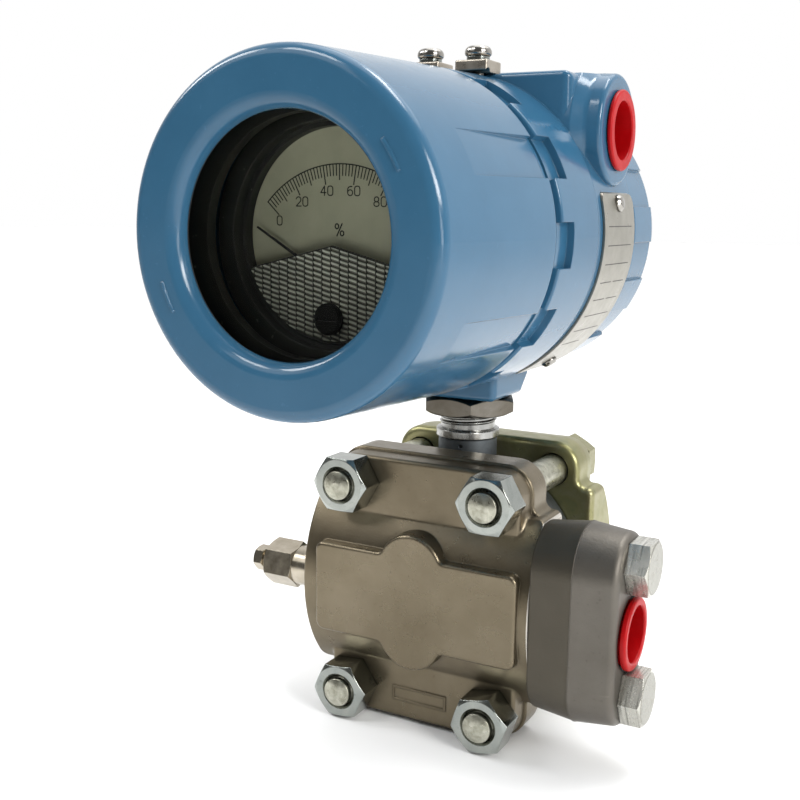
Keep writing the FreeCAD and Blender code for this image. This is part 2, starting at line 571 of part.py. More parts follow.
# nameplate, wrapped on the right side
PLATE_R0, PLATE_R1 = 48.65, 49.45
PLATE_A0, PLATE_A1 = -65.0, 15.4
plate = cyl_y(PLATE_R1, -10.1, 19.4).cut(cyl_y(PLATE_R0, -12, 22))
mid_a = (PLATE_A0 + PLATE_A1) / 2.0
half_chord = PLATE_R1 * math.sin(math.radians((PLATE_A1 - PLATE_A0) / 2.0))
cutter = ext_z([(-half_chord, -10.1, 2.2), (half_chord, -10.1, 2.2), (half_chord, 19.4, 2.2), (-half_chord, 19.4, 2.2)], 20, 60)
cutter.rotate(V(0, 0, 0), V(0, 1, 0), 90 - mid_a)
cutter.translate(V(0, 0, ZC))
plate = plate.common(cutter)
for a in PLATE_SCREWS:
    x, z = polar(44.2, a)
    d = V(math.cos(math.radians(a)), 0, math.sin(math.radians(a)))
    plate = plate.cut(Part.makeCylinder(1.6, 9.0, V(x, PLATE_SCREW_Y, z), d))
node("nameplate", plate)
screws = []
drive = rev_z([(0, -4.6), (1.35, -4.6), (1.35, 0.05), (2.7, 0.05), (2.7, 0.5, 0.2), (1.9, 1.5, 0.8), (0, 1.75)])
for a in PLATE_SCREWS:
    s = drive.copy()
    s.rotate(V(0, 0, 0), V(0, 1, 0), 90 - a)
    x, z = polar(PLATE_R1, a)
    s.translate(V(x, PLATE_SCREW_Y, z))
    screws.append(s)
node("nameplate_screws", *screws)

# earth clamps on the top pad
blocks, washers, cscrews = [], [], []
for s in (-1, 1):
    x = s * CLAMP_X
    b = ext_z([(x - 5.45, CLAMP_Y - 5.45, 0.8), (x + 5.45, CLAMP_Y - 5.45, 0.8), (x + 5.45, CLAMP_Y + 5.45, 0.8),
               (x - 5.45, CLAMP_Y + 5.45, 0.8)], PAD_Z + 0.05, CLAMP_TOP_Z)
    b = b.cut(cyl_x(1.5, x - 8, x + 8, CLAMP_Y - 4.2, PAD_Z - 0.2)).cut(cyl_z(2.6, 160, 175, x, CLAMP_Y))
    b = rounded(b, 0.5, lambda e: abs(e.BoundBox.ZMin - CLAMP_TOP_Z) < 1e-4 and abs(e.BoundBox.ZMax - CLAMP_TOP_Z) < 1e-4 and
                (e.BoundBox.XLength > 6 or e.BoundBox.YLength > 6))
    blocks.append(b)
    washers.append(cyl_z(3.6, CLAMP_TOP_Z + 0.05, CLAMP_TOP_Z + 1.3, x, CLAMP_Y).cut(cyl_z(2.6, 160, 175, x, CLAMP_Y)))
    head_z = CLAMP_TOP_Z + 1.35
    sc = rev_z([(0, 158.0), (2.4, 158.0), (2.4, head_z), (4.2, head_z, 1.0), (4.2, head_z + 3.1, 1.9), (0, head_z + 3.2)], x, CLAMP_Y)
    slot = box(-6, 6, -0.55, 0.55, head_z + 1.8, head_z + 5.0)
    slot.rotate(V(0, 0, 0), V(0, 0, 1), 31.0 if s < 0 else 22.0)
    slot.translate(V(x, CLAMP_Y, 0))
    cscrews.append(sc.cut(slot))
node("earth_clamp_blocks", *blocks)
node("earth_clamp_washers", *washers)
node("earth_clamp_screws", *cscrews)

node("conduit_plug", rev_x([(0, 36.0), (9.5, 36.0, 0.8), (9.9, 41.0), (9.9, 47.7), (12.3, 47.7, 0.5),
                            (12.3, 49.2, 0.7), (8.9, 49.2, 0.6), (8.7, 37.4), (0, 37.4)], ENTRY_Y, ENTRY_Z))

# ------------------------------------------------- boards and terminal block
feed = rev_y([(0, -3.0), (4.0, -3.0), (5.0, -2.0), (5.0, 6.55), (6.6, 6.55), (6.6, 8.6), (4.0, 8.6), (4.0, 11.5), (0, 11.5)], 0, FEED_Z)
node("feedthrough", feed)


def board(y_front, y_back):
    b = cyl_y(37.5, y_front, y_back)
    for x, z, _ in STAND:
        b = b.cut(cyl_y(1.6, y_front - 1, y_back + 1, x, z))
    return b


amp = board(-27.6, -26.0)
for x0, x1, z0, z1, h in ((-20, -6, 96, 110, 5.0), (4, 22, 98, 104, 7.0), (-10, 10, 122, 134, 6.0), (-24, -16, 124, 132, 4.0), (14, 20, 112, 126, 5.0)):
    amp = amp.fuse(box(x0, x1, -26.2, -26.0 + h, z0, z1))
node("amplifier_board", amp)
cal = board(-39.6, -38.0)
for s in (-1, 1):
    cal = cal.cut(cyl_y(1.6, -41, -37, s * 24.0, ZC))
    cal = cal.fuse(box(s * 12 - 4.5, s * 12 + 4.5, -45.0, -39.4, 132, 138.5))
cal = cal.fuse(cyl_y(3.0, -43.0, -39.4, -9, 96)).fuse(cyl_y(3.0, -43.0, -39.4, 9, 96)).fuse(box(-15, 15, -43.0, -39.4, 104, 110))
node("calibration_board", cal)

stands, spacers, bscrews = [], [], []
for x, z, y in STAND:
    st = aim(hexagon(6.0, y + 26.0, 0.0, False, False), "-Y", x, y, z).fuse(cyl_y(1.5, y - 0.5, y + 3.2, x, z))
    stands.append(st.cut(cyl_y(1.45, -27, -18.5, x, z)))
    spacers.append(cyl_y(3.0, -37.95, -27.65, x, z).cut(cyl_y(1.65, -40, -25, x, z)))
    bscrews.append(rev_y([(0, -42.2), (2.2, -42.2, 0.5), (2.8, -41.2, 0.3), (2.8, -39.65), (1.4, -39.65), (1.4, -19.0), (0, -19.0)], x, z))
node("board_standoffs", *stands)
node("board_spacers", *spacers)
node("board_screws", *bscrews)

tb = box(-28.5, 28.5, 14.55, 24.0, 82.0, 116.0)
tb = rounded(tb, 2.0, lambda e: e.BoundBox.XLength < 0.01 and e.BoundBox.ZLength < 0.01)
tb = tb.common(cyl_y(37.0, 10, 40))
for x in (-24.6, -12.0, 0.0, 12.0, 24.6):
    tb = tb.fuse(box(x - 0.8, x + 0.8, 23.5, 28.0, 97.5, 110.5))
for x in (-18.0, -6.0, 6.0, 18.0):
    tb = tb.cut(cyl_y(1.6, 18.0, 26.0, x, TB_Z))
for s in (-1, 1):
    tb = tb.cut(cyl_y(1.7, 10.0, 26.0, s * TB_SCREW_X, TB_SCREW_Z))
tb = tb.removeSplitter()
node("terminal_block", tb)
node("terminal_screws", *[rev_y([(0, 18.6), (1.5, 18.6), (1.5, 24.05), (3.4, 24.05), (3.4, 26.4, 0.4), (2.6, 27.2, 0.5), (0, 27.3)], x, TB_Z)
                          for x in (-18.0, -6.0, 6.0, 18.0)])
node("terminal_block_screws", *[rev_y([(0, 12.4), (1.5, 12.4), (1.5, 24.05), (2.9, 24.05), (2.9, 25.8, 0.4), (0, 26.3)], s * TB_SCREW_X, TB_SCREW_Z)
                                for s in (-1, 1)])

# --------------------------------------------------------------------- meter
posts = []
for s in (-1, 1):
    p = cyl_y(3.2, -61.95, -39.65, s * 24.0, ZC).fuse(cyl_y(1.5, -40.0, -36.4, s * 24.0, ZC)).fuse(cyl_y(1.5, -65.6, -61.0, s * 24.0, ZC))
    posts.append(p)
node("meter_posts", *posts)

case = rev_y([(0, -62.0), (35.0, -62.0, 2.0), (35.0, -82.15), (32.5, -82.15), (32.5, -64.0, 1.5), (0, -64.0)])
for s in (-1, 1):
    case = case.cut(cyl_y(1.6, -66, -60, s * 24.0, ZC))
node("meter_case", case)
node("meter_bezel", rev_y([(28.6, DIAL_Y - 0.05), (35.5, DIAL_Y - 0.05), (35.5, -90.0, 1.0), (29.8, -90.0, 0.3), (29.8, -86.2),
                           (28.6, -86.2, 0.2)]))
dial = cyl_y(DIAL_R, DIAL_Y, DIAL_Y + 0.8).cut(cyl_y(1.2, -85, -80, 0, PIVOT_Z))
node("meter_dial", dial)

roof = math.tan(math.radians(MASK_SLOPE_DEG))
mask = ext_y([(-40, MASK_PEAK_Z - 40 * roof), (0, MASK_PEAK_Z), (40, MASK_PEAK_Z - 40 * roof), (40, 70), (-40, 70)], MASK_Y - 1.0, MASK_Y)
mask = mask.common(cyl_y(28.2, -95, -80))
for s in (-1, 1):
    mask = mask.fuse(cyl_y(1.5, MASK_Y - 0.5, DIAL_Y - 0.05, s * 20.0, 100.0))
mask = mask.cut(cyl_y(1.5, -95, -80, 0, KNOB_Z))
node("movement_cover", mask)

magnet = rev_y([(1.2, -78.6), (6.2, -78.6), (6.2, -71.0), (9.2, -71.0), (9.2, -79.0), (14.0, -79.0), (14.0, -64.05), (1.2, -64.05)], 0, PIVOT_Z)
node("meter_magnet", magnet)

a = math.radians(POINTER_REST_DEG)
blade = ext_y([(-5.5, -0.55), (-5.5, 0.55), (0.0, 0.45), (POINTER_L, 0.24), (POINTER_L, -0.24), (0.0, -0.45)], -84.9, -84.4)
blade.rotate(V(0, 0, 0), V(0, 1, 0), -POINTER_REST_DEG)
blade.translate(V(0, 0, PIVOT_Z))
pointer = blade.fuse(cyl_y(2.0, -85.5, -83.5, 0, PIVOT_Z)).cut(cyl_y(0.65, -90, -80, 0, PIVOT_Z))
node("pointer", pointer)
node("pointer_coil", rev_y([(0, -85.4), (0.6, -85.4), (0.6, -80.2), (8.3, -80.2), (8.3, -71.5), (7.0, -71.5), (7.0, -79.1),
                            (0.6, -79.1), (0.6, -66.0), (0, -66.0)], 0, PIVOT_Z))
knob = rev_y([(0, -89.4), (KNOB_R - 0.7, -89.4, 0.3), (KNOB_R, -88.9, 0.3), (KNOB_R, -87.95), (1.2, -87.95), (1.2, -85.75), (2.3, -85.75),
              (2.3, -85.0), (0, -85.0)], 0, KNOB_Z)
knob = knob.cut(box(-3.0, 3.0, -90.5, -88.9, KNOB_Z - 0.45, KNOB_Z + 0.45))
node("zero_adjust_knob", knob)

# --------------------------------------------------------------- front cover
cover = rev_y([(WINDOW_R, COVER_FACE_Y, LIP_ROUND), (COVER_R0, COVER_FACE_Y, COVER_ROUND),
               (COVER_R1, COVER_RIM_Y, 0.9), (COLLAR_R, COVER_RIM_Y), (COLLAR_R, -44.1), (SKIRT_R, -44.1),
               (SKIRT_R, SKIRT_END_Y, 0.8), (39.2, SKIRT_END_Y, 0.4), (39.2, -48.0), (40.5, -50.0), (40.5, -93.3),
               (38.5, -93.3), (38.5, WINDOW_SEAT_Y), (WINDOW_R, WINDOW_SEAT_Y)])
for k in range(6):
    cover = cover.cut(sector(COVER_RECESS_R, -97.5, COVER_RIM_Y + 0.01, COVER_RECESS_AT + 60.0 * k, COVER_RECESS_DEG))
for a0, a1 in DASHES:
    dash = cyl_y(DASH_R + DASH_WIDE / 2, COVER_FACE_Y - DASH_RISE, COVER_FACE_Y + 0.6)
    dash = dash.cut(cyl_y(DASH_R - DASH_WIDE / 2, COVER_FACE_Y - 2, COVER_FACE_Y + 2))
    dash = dash.common(sector(30.0, COVER_FACE_Y - 2, COVER_FACE_Y + 2, (a0 + a1) / 2, a1 - a0))
    dash = rounded(dash, 0.25, on_y(COVER_FACE_Y - DASH_RISE))
    cover = cover.fuse(dash)
node("front_cover", cover)
SEAT = WINDOW_SEAT_Y
node("window_gasket", rev_y([(31.4, SEAT + 0.05), (38.45, SEAT + 0.05), (38.45, SEAT + 8.2), (37.5, SEAT + 8.2), (37.5, SEAT + 1.0),
                             (31.4, SEAT + 1.0)]))
node("cover_glass", rev_y([(0, SEAT + 1.05), (37.4, SEAT + 1.05, 0.4), (37.4, SEAT + 8.15, 0.4), (0, SEAT + 8.15)]))
node("glass_retaining_ring", rev_y([(31.2, SEAT + 8.25), (38.4, SEAT + 8.25), (38.4, SEAT + 14.0, 0.4), (33.0, SEAT + 14.0, 0.4),
                                    (31.2, SEAT + 11.6, 0.4)]))
node("front_cover_o_ring", Part.makeTorus(43.3, 1.2, V(0, -42.35, ZC), V(0, 1, 0)))

# ---------------------------------------------------------------- rear cover
rc = rev_y([(0, REAR_COVER_END_Y), (REAR_LUG_R, REAR_COVER_END_Y, 3.2), (REAR_LUG_R, REAR_COVER_RIM_Y, 0.6), (COLLAR_R, REAR_COVER_RIM_Y),
            (COLLAR_R, 22.4), (SKIRT_R, 22.4), (SKIRT_R, 15.2, 0.6), (39.2, 15.2, 0.4), (39.2, 42.4), (0, 42.4)])
for k in range(12):
    rc = rc.cut(sector(REAR_BASE_R, REAR_COVER_RIM_Y - 0.01, 60.0, REAR_LUG_AT + 15.0 + 30.0 * k, 30.0 - REAR_LUG_DEG))
node("rear_cover", rc)
node("rear_cover_o_ring", Part.makeTorus(43.3, 1.2, V(0, 20.65, ZC), V(0, 1, 0)))

# -------------------------------------------------------------------- export
OFF = V(-(ADAPTER_HEAD_X + VENT_TIP_X) / 2.0, -(COVER_FACE_Y - DASH_RISE + REAR_COVER_END_Y) / 2.0, FLANGE_HALF_H)
for name in NODES:
    s = NODES[name]
    s.translate(OFF)
    s.exportStep("parts/" + name + ".step")
    bb = s.BoundBox
    print(name, len(s.Solids), s.isValid(), round(s.Volume, 1),
          [round(v, 2) for v in (bb.XMin, bb.XMax, bb.YMin, bb.YMax, bb.ZMin, bb.ZMax)])
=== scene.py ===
import math

import bmesh
import bpy
from mathutils import Matrix, Vector


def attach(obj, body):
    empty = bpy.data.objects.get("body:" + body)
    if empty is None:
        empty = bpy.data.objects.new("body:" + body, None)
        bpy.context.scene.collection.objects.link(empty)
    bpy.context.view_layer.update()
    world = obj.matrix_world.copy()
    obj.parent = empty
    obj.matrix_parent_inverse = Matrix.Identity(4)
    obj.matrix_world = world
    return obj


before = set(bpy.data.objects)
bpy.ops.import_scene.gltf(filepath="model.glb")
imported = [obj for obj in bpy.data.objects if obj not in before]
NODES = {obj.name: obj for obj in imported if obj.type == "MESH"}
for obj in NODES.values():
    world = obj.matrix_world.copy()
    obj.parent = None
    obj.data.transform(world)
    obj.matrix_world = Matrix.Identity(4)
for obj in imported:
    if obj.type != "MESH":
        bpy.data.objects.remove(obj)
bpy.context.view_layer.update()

# Working millimetres (neck axis, flange bolt centre) to the shared frame in metres.
OFF = (-3.2, 33.0, 45.8)
ZC = 116.8


def P(x, y, z):
    return Vector(((x + OFF[0]) / 1000.0, (y + OFF[1]) / 1000.0, (z + OFF[2]) / 1000.0))


# ------------------------------------------------------------------ materials
def ramp(nt, fac, stops, loc=(0, 0)):
    n = nt.nodes.new("ShaderNodeValToRGB")
    e = n.color_ramp.elements
    while len(e) > 1:
        e.remove(e[-1])
    e[0].position, e[0].color = stops[0][0], tuple(stops[0][1]) + (1.0,)
    for p, c in stops[1:]:
        s = e.new(p)
        s.color = tuple(c) + (1.0,)
    nt.links.new(fac, n.inputs["Fac"])
    return n.outputs["Color"]


def noise(nt, vec, scale, detail=4.0, rough=0.55, distort=0.0):
    n = nt.nodes.new("ShaderNodeTexNoise")
    n.inputs["Scale"].default_value = scale
    n.inputs["Detail"].default_value = detail
    n.inputs["Roughness"].default_value = rough
    n.inputs["Distortion"].default_value = distort
    nt.links.new(vec, n.inputs["Vector"])
    return n.outputs["Fac"]


def stretch(nt, vec, sx, sy, sz, rx=0.0, ry=0.0, rz=0.0):
    m = nt.nodes.new("ShaderNodeMapping")
    m.inputs["Scale"].default_value = (sx, sy, sz)
    m.inputs["Rotation"].default_value = (rx, ry, rz)
    nt.links.new(vec, m.inputs["Vector"])
    return m.outputs["Vector"]


def span(nt, fac, a, b, lo=0.3, hi=0.7):
    m = nt.nodes.new("ShaderNodeMapRange")
    m.inputs["From Min"].default_value = lo
    m.inputs["From Max"].default_value = hi
    m.inputs["To Min"].default_value = a
    m.inputs["To Max"].default_value = b
    nt.links.new(fac, m.inputs["Value"])
    return m.outputs["Result"]


def bump(nt, height, strength, dist, normal=None):
    b = nt.nodes.new("ShaderNodeBump")
    b.inputs["Strength"].default_value = strength
    b.inputs["Distance"].default_value = dist
    nt.links.new(height, b.inputs["Height"])
    if normal is not None:
        nt.links.new(normal, b.inputs["Normal"])
    return b.outputs["Normal"]


def start(name, metallic=0.0, rough=0.5, ior=1.5, spec=0.5, coat=0.0, coat_rough=0.05):
    m = bpy.data.materials.new(name)
    m.use_nodes = True
    nt = m.node_tree
    nt.nodes.clear()
    out = nt.nodes.new("ShaderNodeOutputMaterial")
    p = nt.nodes.new("ShaderNodeBsdfPrincipled")
    nt.links.new(p.outputs["BSDF"], out.inputs["Surface"])
    p.inputs["Metallic"].default_value = metallic
    p.inputs["Roughness"].default_value = rough
    p.inputs["IOR"].default_value = ior
    p.inputs["Specular IOR Level"].default_value = spec
    p.inputs["Coat Weight"].default_value = coat
    p.inputs["Coat Roughness"].default_value = coat_rough
    tc = nt.nodes.new("ShaderNodeTexCoord")
    return m, nt, p, tc.outputs["Object"]


def along(nt, vec, axis):
    s = nt.nodes.new("ShaderNodeSeparateXYZ")
    nt.links.new(vec, s.inputs["Vector"])
    return s.outputs[axis]


def soft_edges(nt, radius):
    b = nt.nodes.new("ShaderNodeBevel")
    b.samples = 6
    b.inputs["Radius"].default_value = radius
    return b.outputs["Normal"]


def grime_and_shade(nt, color, reach, grime_shade_tone, strength):
    """Painted shade where faces meet, also standing for grime there: an ambient-occlusion mask darkens the colour."""
    ao = nt.nodes.new("ShaderNodeAmbientOcclusion")
    ao.samples = 8
    ao.inputs["Distance"].default_value = reach
    return blend(nt, span(nt, ao.outputs["AO"], strength, 0.0, 0.25, 0.9), color, grime_shade_tone)


def blend(nt, fac, a, b, mode="MIX"):
    """Colour a, going over to b where fac is high; a plain tuple is set on its socket."""
    m = nt.nodes.new("ShaderNodeMix")
    m.data_type = "RGBA"
    m.blend_type = mode
    if isinstance(fac, float):
        m.inputs[0].default_value = fac
    else:
        nt.links.new(fac, m.inputs[0])
    for k, c in ((6, a), (7, b)):
        if isinstance(c, tuple):
            m.inputs[k].default_value = c + (1.0,)
        else:
            nt.links.new(c, m.inputs[k])
    return m.outputs[2]


def enamel(name, dark, mid, light):
    """Semi-gloss enamel over cast aluminium: orange peel, faint clouding, a few dull specks."""
    m, nt, p, v = start(name, 0.0, 0.2, 1.5, 0.5)
    cloud = noise(nt, v, 38.0, 5.0, 0.6)
    tone = ramp(nt, cloud, [(0.3, dark), (0.5, mid), (0.72, light)])
    specks = span(nt, noise(nt, v, 900.0, 1.0, 0.4), 0.0, 0.25, 0.74, 0.79)
    nt.links.new(blend(nt, specks, tone, tuple(c * 1.3 + 0.01 for c in light)), p.inputs["Base Color"])
    wear = noise(nt, v, 150.0, 6.0, 0.62)
    nt.links.new(span(nt, wear, 0.11, 0.19), p.inputs["Roughness"])
    n0 = soft_edges(nt, 0.0004)
    n1 = bump(nt, noise(nt, v, 330.0, 2.0, 0.5), 0.045, 0.0005, n0)
    n2 = bump(nt, noise(nt, v, 1300.0, 2.0, 0.5), 0.02, 0.0001, n1)
    nt.links.new(n2, p.inputs["Normal"])
    return m


def cast_metal(name, dark, mid, light, r0, r1, grain=1700.0, grain_s=0.35, metallic=1.0, smooth_y=None, split_x=None, shade=(0.5, 0.5, 0.5), ends=None):
    """Blasted cast metal: fine pits, slight clouding, painted shade with grime in the corners, faint scratches.
    In front of smooth_y (shared frame, metres) the face is ground smoother; up to split_x it takes the shade colour;
    outside ends the casting is machined bright, and just inside the right end a thin band is a painted highlight on the
    edge."""
    m, nt, p, v = start(name, metallic, 0.4)
    cloud = noise(nt, v, 34.0, 7.0, 0.6, 0.3)
    tone = ramp(nt, cloud, [(0.28, dark), (0.5, mid), (0.74, light)])
    pits = span(nt, noise(nt, v, grain * 0.45, 2.0, 0.5), 0.0, 0.35, 0.64, 0.78)
    tone = blend(nt, pits, tone, tuple(c * 0.6 for c in dark))
    scratch = noise(nt, stretch(nt, v, 18.0, 300.0, 700.0, 0.0, 0.75, 0.0), 1.0, 2.0, 0.5)
    tone = blend(nt, span(nt, scratch, 0.0, 0.3, 0.74, 0.82), tone, tuple(min(1.0, c * 1.35) for c in light))
    if split_x is not None:
        tone = blend(nt, span(nt, along(nt, v, "X"), 1.0, 0.0, split_x - 0.0002, split_x + 0.0002), tone, shade)
    if ends is not None:
        plain = (0.40, 0.372, 0.32)
        tone = blend(nt, span(nt, along(nt, v, "X"), 1.0, 0.0, ends[0] - 0.00038, ends[0] - 0.00026), tone, plain)
        # painted highlight: a thin bright band on the right end's edge rounding, then the plain machined end face
        for shift, rim in ((-0.00025, (0.66, 0.63, 0.57)), (0.00032, plain)):
            tone = blend(nt, span(nt, along(nt, v, "X"), 0.0, 1.0, ends[1] + shift - 0.00006, ends[1] + shift + 0.00006), tone, rim)
    # painted shade with grime where faces meet
    nt.links.new(grime_and_shade(nt, tone, 0.0035, tuple(c * 0.22 for c in dark), 0.7), p.inputs["Base Color"])
    rough = span(nt, noise(nt, v, 120.0, 6.0, 0.6), r0, r1)
    n0 = soft_edges(nt, 0.0008)
    n1 = bump(nt, noise(nt, v, 220.0, 3.0, 0.55), 0.07, 0.0006, n0)
    n2 = bump(nt, noise(nt, v, grain, 3.0, 0.6), grain_s, 0.0002, n1)
    if smooth_y is not None:
        part = span(nt, along(nt, v, "Y"), 1.0, 0.0, smooth_y - 0.0003, smooth_y + 0.0003)
        fine = bump(nt, noise(nt, stretch(nt, v, 700.0, 700.0, 150.0), 1.0, 3.0, 0.55), 0.05, 0.0002, n0)
        mx = nt.nodes.new("ShaderNodeMix")
        mx.data_type = "VECTOR"
        nt.links.new(part, mx.inputs[0])
        nt.links.new(n2, mx.inputs[4])
        nt.links.new(fine, mx.inputs[5])
        n2 = mx.outputs[1]
        mr = nt.nodes.new("ShaderNodeMix")
        mr.data_type = "FLOAT"
        nt.links.new(part, mr.inputs[0])
        nt.links.new(rough, mr.inputs[2])
        nt.links.new(span(nt, noise(nt, v, 90.0, 6.0, 0.6), r0 - 0.04, r1 - 0.04), mr.inputs[3])
        rough = mr.outputs[0]
    nt.links.new(rough, p.inputs["Roughness"])
    nt.links.new(n2, p.inputs["Normal"])
    return m


def turned_metal(name, dark, light, r0, r1, axis="Z", metallic=1.0, groove=0.12, dull_below=None, dull=(0.2, 0.2, 0.2), coarse=2600.0, lines=False, cap=None):
    """Machined metal with fine marks around one axis; under dull_below (metres) it is left matt; beyond cap (metres, X) the end face is darker."""
    m, nt, p, v = start(name, metallic, 0.3)
    s = {"X": (coarse, 60.0, 60.0), "Y": (60.0, coarse, 60.0), "Z": (60.0, 60.0, coarse)}[axis]
    marks = noise(nt, stretch(nt, v, *s), 1.0, 3.0, 0.6)
    cloud = noise(nt, v, 140.0, 5.0, 0.6)
    tone = ramp(nt, cloud, [(0.3, dark), (0.7, light)])
    if lines:
        tone = blend(nt, 1.0, tone, ramp(nt, marks, [(0.36, (0.50, 0.50, 0.49)), (0.50, (0.86, 0.86, 0.86)), (0.66, (1.0, 1.0, 1.0))]), "MULTIPLY")
    if cap is not None:
        tone = blend(nt, span(nt, along(nt, v, "X"), 0.0, 0.86, cap - 0.00008, cap + 0.00008), tone, (0.27, 0.265, 0.225))
    rough = span(nt, noise(nt, v, 300.0, 5.0, 0.6), r0, r1)
    if dull_below is not None:
        part = span(nt, along(nt, v, "Z"), 1.0, 0.0, dull_below - 0.0002, dull_below + 0.0002)
        matt = ramp(nt, noise(nt, v, 260.0, 6.0, 0.65), [(0.3, tuple(c * 0.82 for c in dull)), (0.7, tuple(c * 1.15 for c in dull))])
        tone = blend(nt, part, tone, matt)
        mr = nt.nodes.new("ShaderNodeMix")
        mr.data_type = "FLOAT"
        nt.links.new(part, mr.inputs[0])
        nt.links.new(rough, mr.inputs[2])
        nt.links.new(span(nt, noise(nt, v, 500.0, 5.0, 0.6), 0.46, 0.6), mr.inputs[3])
        rough = mr.outputs[0]
    # painted shade with grime where faces meet
    nt.links.new(grime_and_shade(nt, tone, 0.0015, tuple(c * 0.25 for c in dark), 0.5), p.inputs["Base Color"])
    nt.links.new(rough, p.inputs["Roughness"])
    nt.links.new(bump(nt, marks, groove, 0.0001, soft_edges(nt, 0.00025)), p.inputs["Normal"])
    return m


def plated_metal(name, stops, r0, r1, metallic=1.0, speck=700.0, edge=0.0004, cloud_scale=90.0):
    """Plated steel: clouded passivation tint, handling marks, softened edges."""
    m, nt, p, v = start(name, metallic, 0.3)
    cloud = noise(nt, v, cloud_scale, 6.0, 0.65, 0.5)
    tone = ramp(nt, cloud, stops)
    marks = span(nt, noise(nt, stretch(nt, v, 260.0, 700.0, 420.0, 0.4, 0.3, 0.2), 1.0, 3.0, 0.6), 0.0, 0.6, 0.66, 0.76)
    tone = blend(nt, marks, tone, tuple(c * 0.62 for c in stops[0][1]))
    # painted shade with grime where faces meet
    nt.links.new(grime_and_shade(nt, tone, 0.002, tuple(c * 0.22 for c in stops[0][1]), 0.6), p.inputs["Base Color"])
    nt.links.new(span(nt, noise(nt, v, 260.0, 6.0, 0.65), r0, r1), p.inputs["Roughness"])
    n1 = bump(nt, noise(nt, v, 180.0, 3.0, 0.5), 0.08, 0.0004, soft_edges(nt, edge))
    n2 = bump(nt, noise(nt, v, speck, 5.0, 0.6), 0.10, 0.0001, n1)
    nt.links.new(n2, p.inputs["Normal"])
    return m


def bolt_metal(name, stops, r0, r1, y_tint, tint):
    """Zinc on a rolled bolt: grainy upset end, heads behind y_tint (metres) take the tint."""
    m, nt, p, v = start(name, 1.0, 0.3)
    cloud = noise(nt, v, 420.0, 5.0, 0.6, 0.3)
    tone = ramp(nt, cloud, stops)
    back = span(nt, along(nt, v, "Y"), 0.0, 0.85, y_tint - 0.0003, y_tint + 0.0003)
    tone = blend(nt, back, tone, tint)
    # painted shade with grime where faces meet
    nt.links.new(grime_and_shade(nt, tone, 0.0015, tuple(c * 0.2 for c in stops[0][1]), 0.6), p.inputs["Base Color"])
    nt.links.new(span(nt, noise(nt, v, 700.0, 5.0, 0.6), r0, r1), p.inputs["Roughness"])
    n1 = bump(nt, noise(nt, v, 900.0, 4.0, 0.6), 0.30, 0.0002, soft_edges(nt, 0.0004))
    nt.links.new(bump(nt, noise(nt, v, 260.0, 3.0, 0.5), 0.12, 0.0004, n1), p.inputs["Normal"])
    return m


def plastic(name, stops, r0, r1, grain=900.0, grain_s=0.08, coat=0.0, sss=0.0, spec=0.5):
    m, nt, p, v = start(name, 0.0, 0.4, 1.48, spec, coat, 0.1)
    nt.links.new(ramp(nt, noise(nt, v, 120.0, 5.0, 0.6), stops), p.inputs["Base Color"])
    nt.links.new(span(nt, noise(nt, v, 300.0, 5.0, 0.6), r0, r1), p.inputs["Roughness"])
    nt.links.new(bump(nt, noise(nt, v, grain, 3.0, 0.55), grain_s, 0.0002), p.inputs["Normal"])
    if sss > 0:
        p.inputs["Subsurface Weight"].default_value = sss
        p.inputs["Subsurface Radius"].default_value = (0.004, 0.001, 0.0008)
        p.inputs["Subsurface Scale"].default_value = 0.5
    return m


def dusty_black(name):
    """Black moulding deep in the window: soft sheen and a little dust."""
    m, nt, p, v = start(name, 0.0, 0.5, 1.48, 0.4)
    dust = noise(nt, v, 620.0, 1.0, 0.4)
    cloud = noise(nt, v, 60.0, 6.0, 0.65)
    base = ramp(nt, cloud, [(0.3, (0.010, 0.010, 0.009)), (0.55, (0.019, 0.018, 0.015)), (0.8, (0.036, 0.032, 0.026))])
    spots = span(nt, dust, 0.0, 0.7, 0.765, 0.80)
    nt.links.new(blend(nt, spots, base, (0.10, 0.095, 0.085)), p.inputs["Base Color"])
    nt.links.new(span(nt, cloud, 0.36, 0.55), p.inputs["Roughness"])
    nt.links.new(bump(nt, noise(nt, v, 1200.0, 3.0, 0.5), 0.06, 0.0001, soft_edges(nt, 0.0003)), p.inputs["Normal"])
    return m


def relief_metal(name, y_low, y_high):
    """Embossed silver sheet with painted light: the colour is painted dark as shade in the hollows and bright as
    highlights on the ridges (depth along Y, metres).
    """
    m, nt, p, v = start(name, 0.12, 0.34)
    depth = span(nt, along(nt, v, "Y"), 0.0, 1.0, y_low, y_high)
    # painted shade near black down at the plate face, painted highlight near white at the ridge tops
    tone = ramp(nt, depth, [(0.0, (0.02, 0.019, 0.016)), (0.20, (0.15, 0.142, 0.115)), (0.54, (0.28, 0.265, 0.215)), (0.68, (0.98, 0.96, 0.85))])
    patch = ramp(nt, noise(nt, v, 160.0, 5.0, 0.6), [(0.3, (0.72, 0.72, 0.72)), (0.7, (1.0, 1.0, 1.0))])
    nt.links.new(blend(nt, 1.0, tone, patch, "MULTIPLY"), p.inputs["Base Color"])
    nt.links.new(span(nt, noise(nt, v, 400.0, 5.0, 0.6), 0.28, 0.42), p.inputs["Roughness"])
    nt.links.new(bump(nt, noise(nt, v, 1800.0, 3.0, 0.5), 0.06, 0.0001), p.inputs["Normal"])
    return m


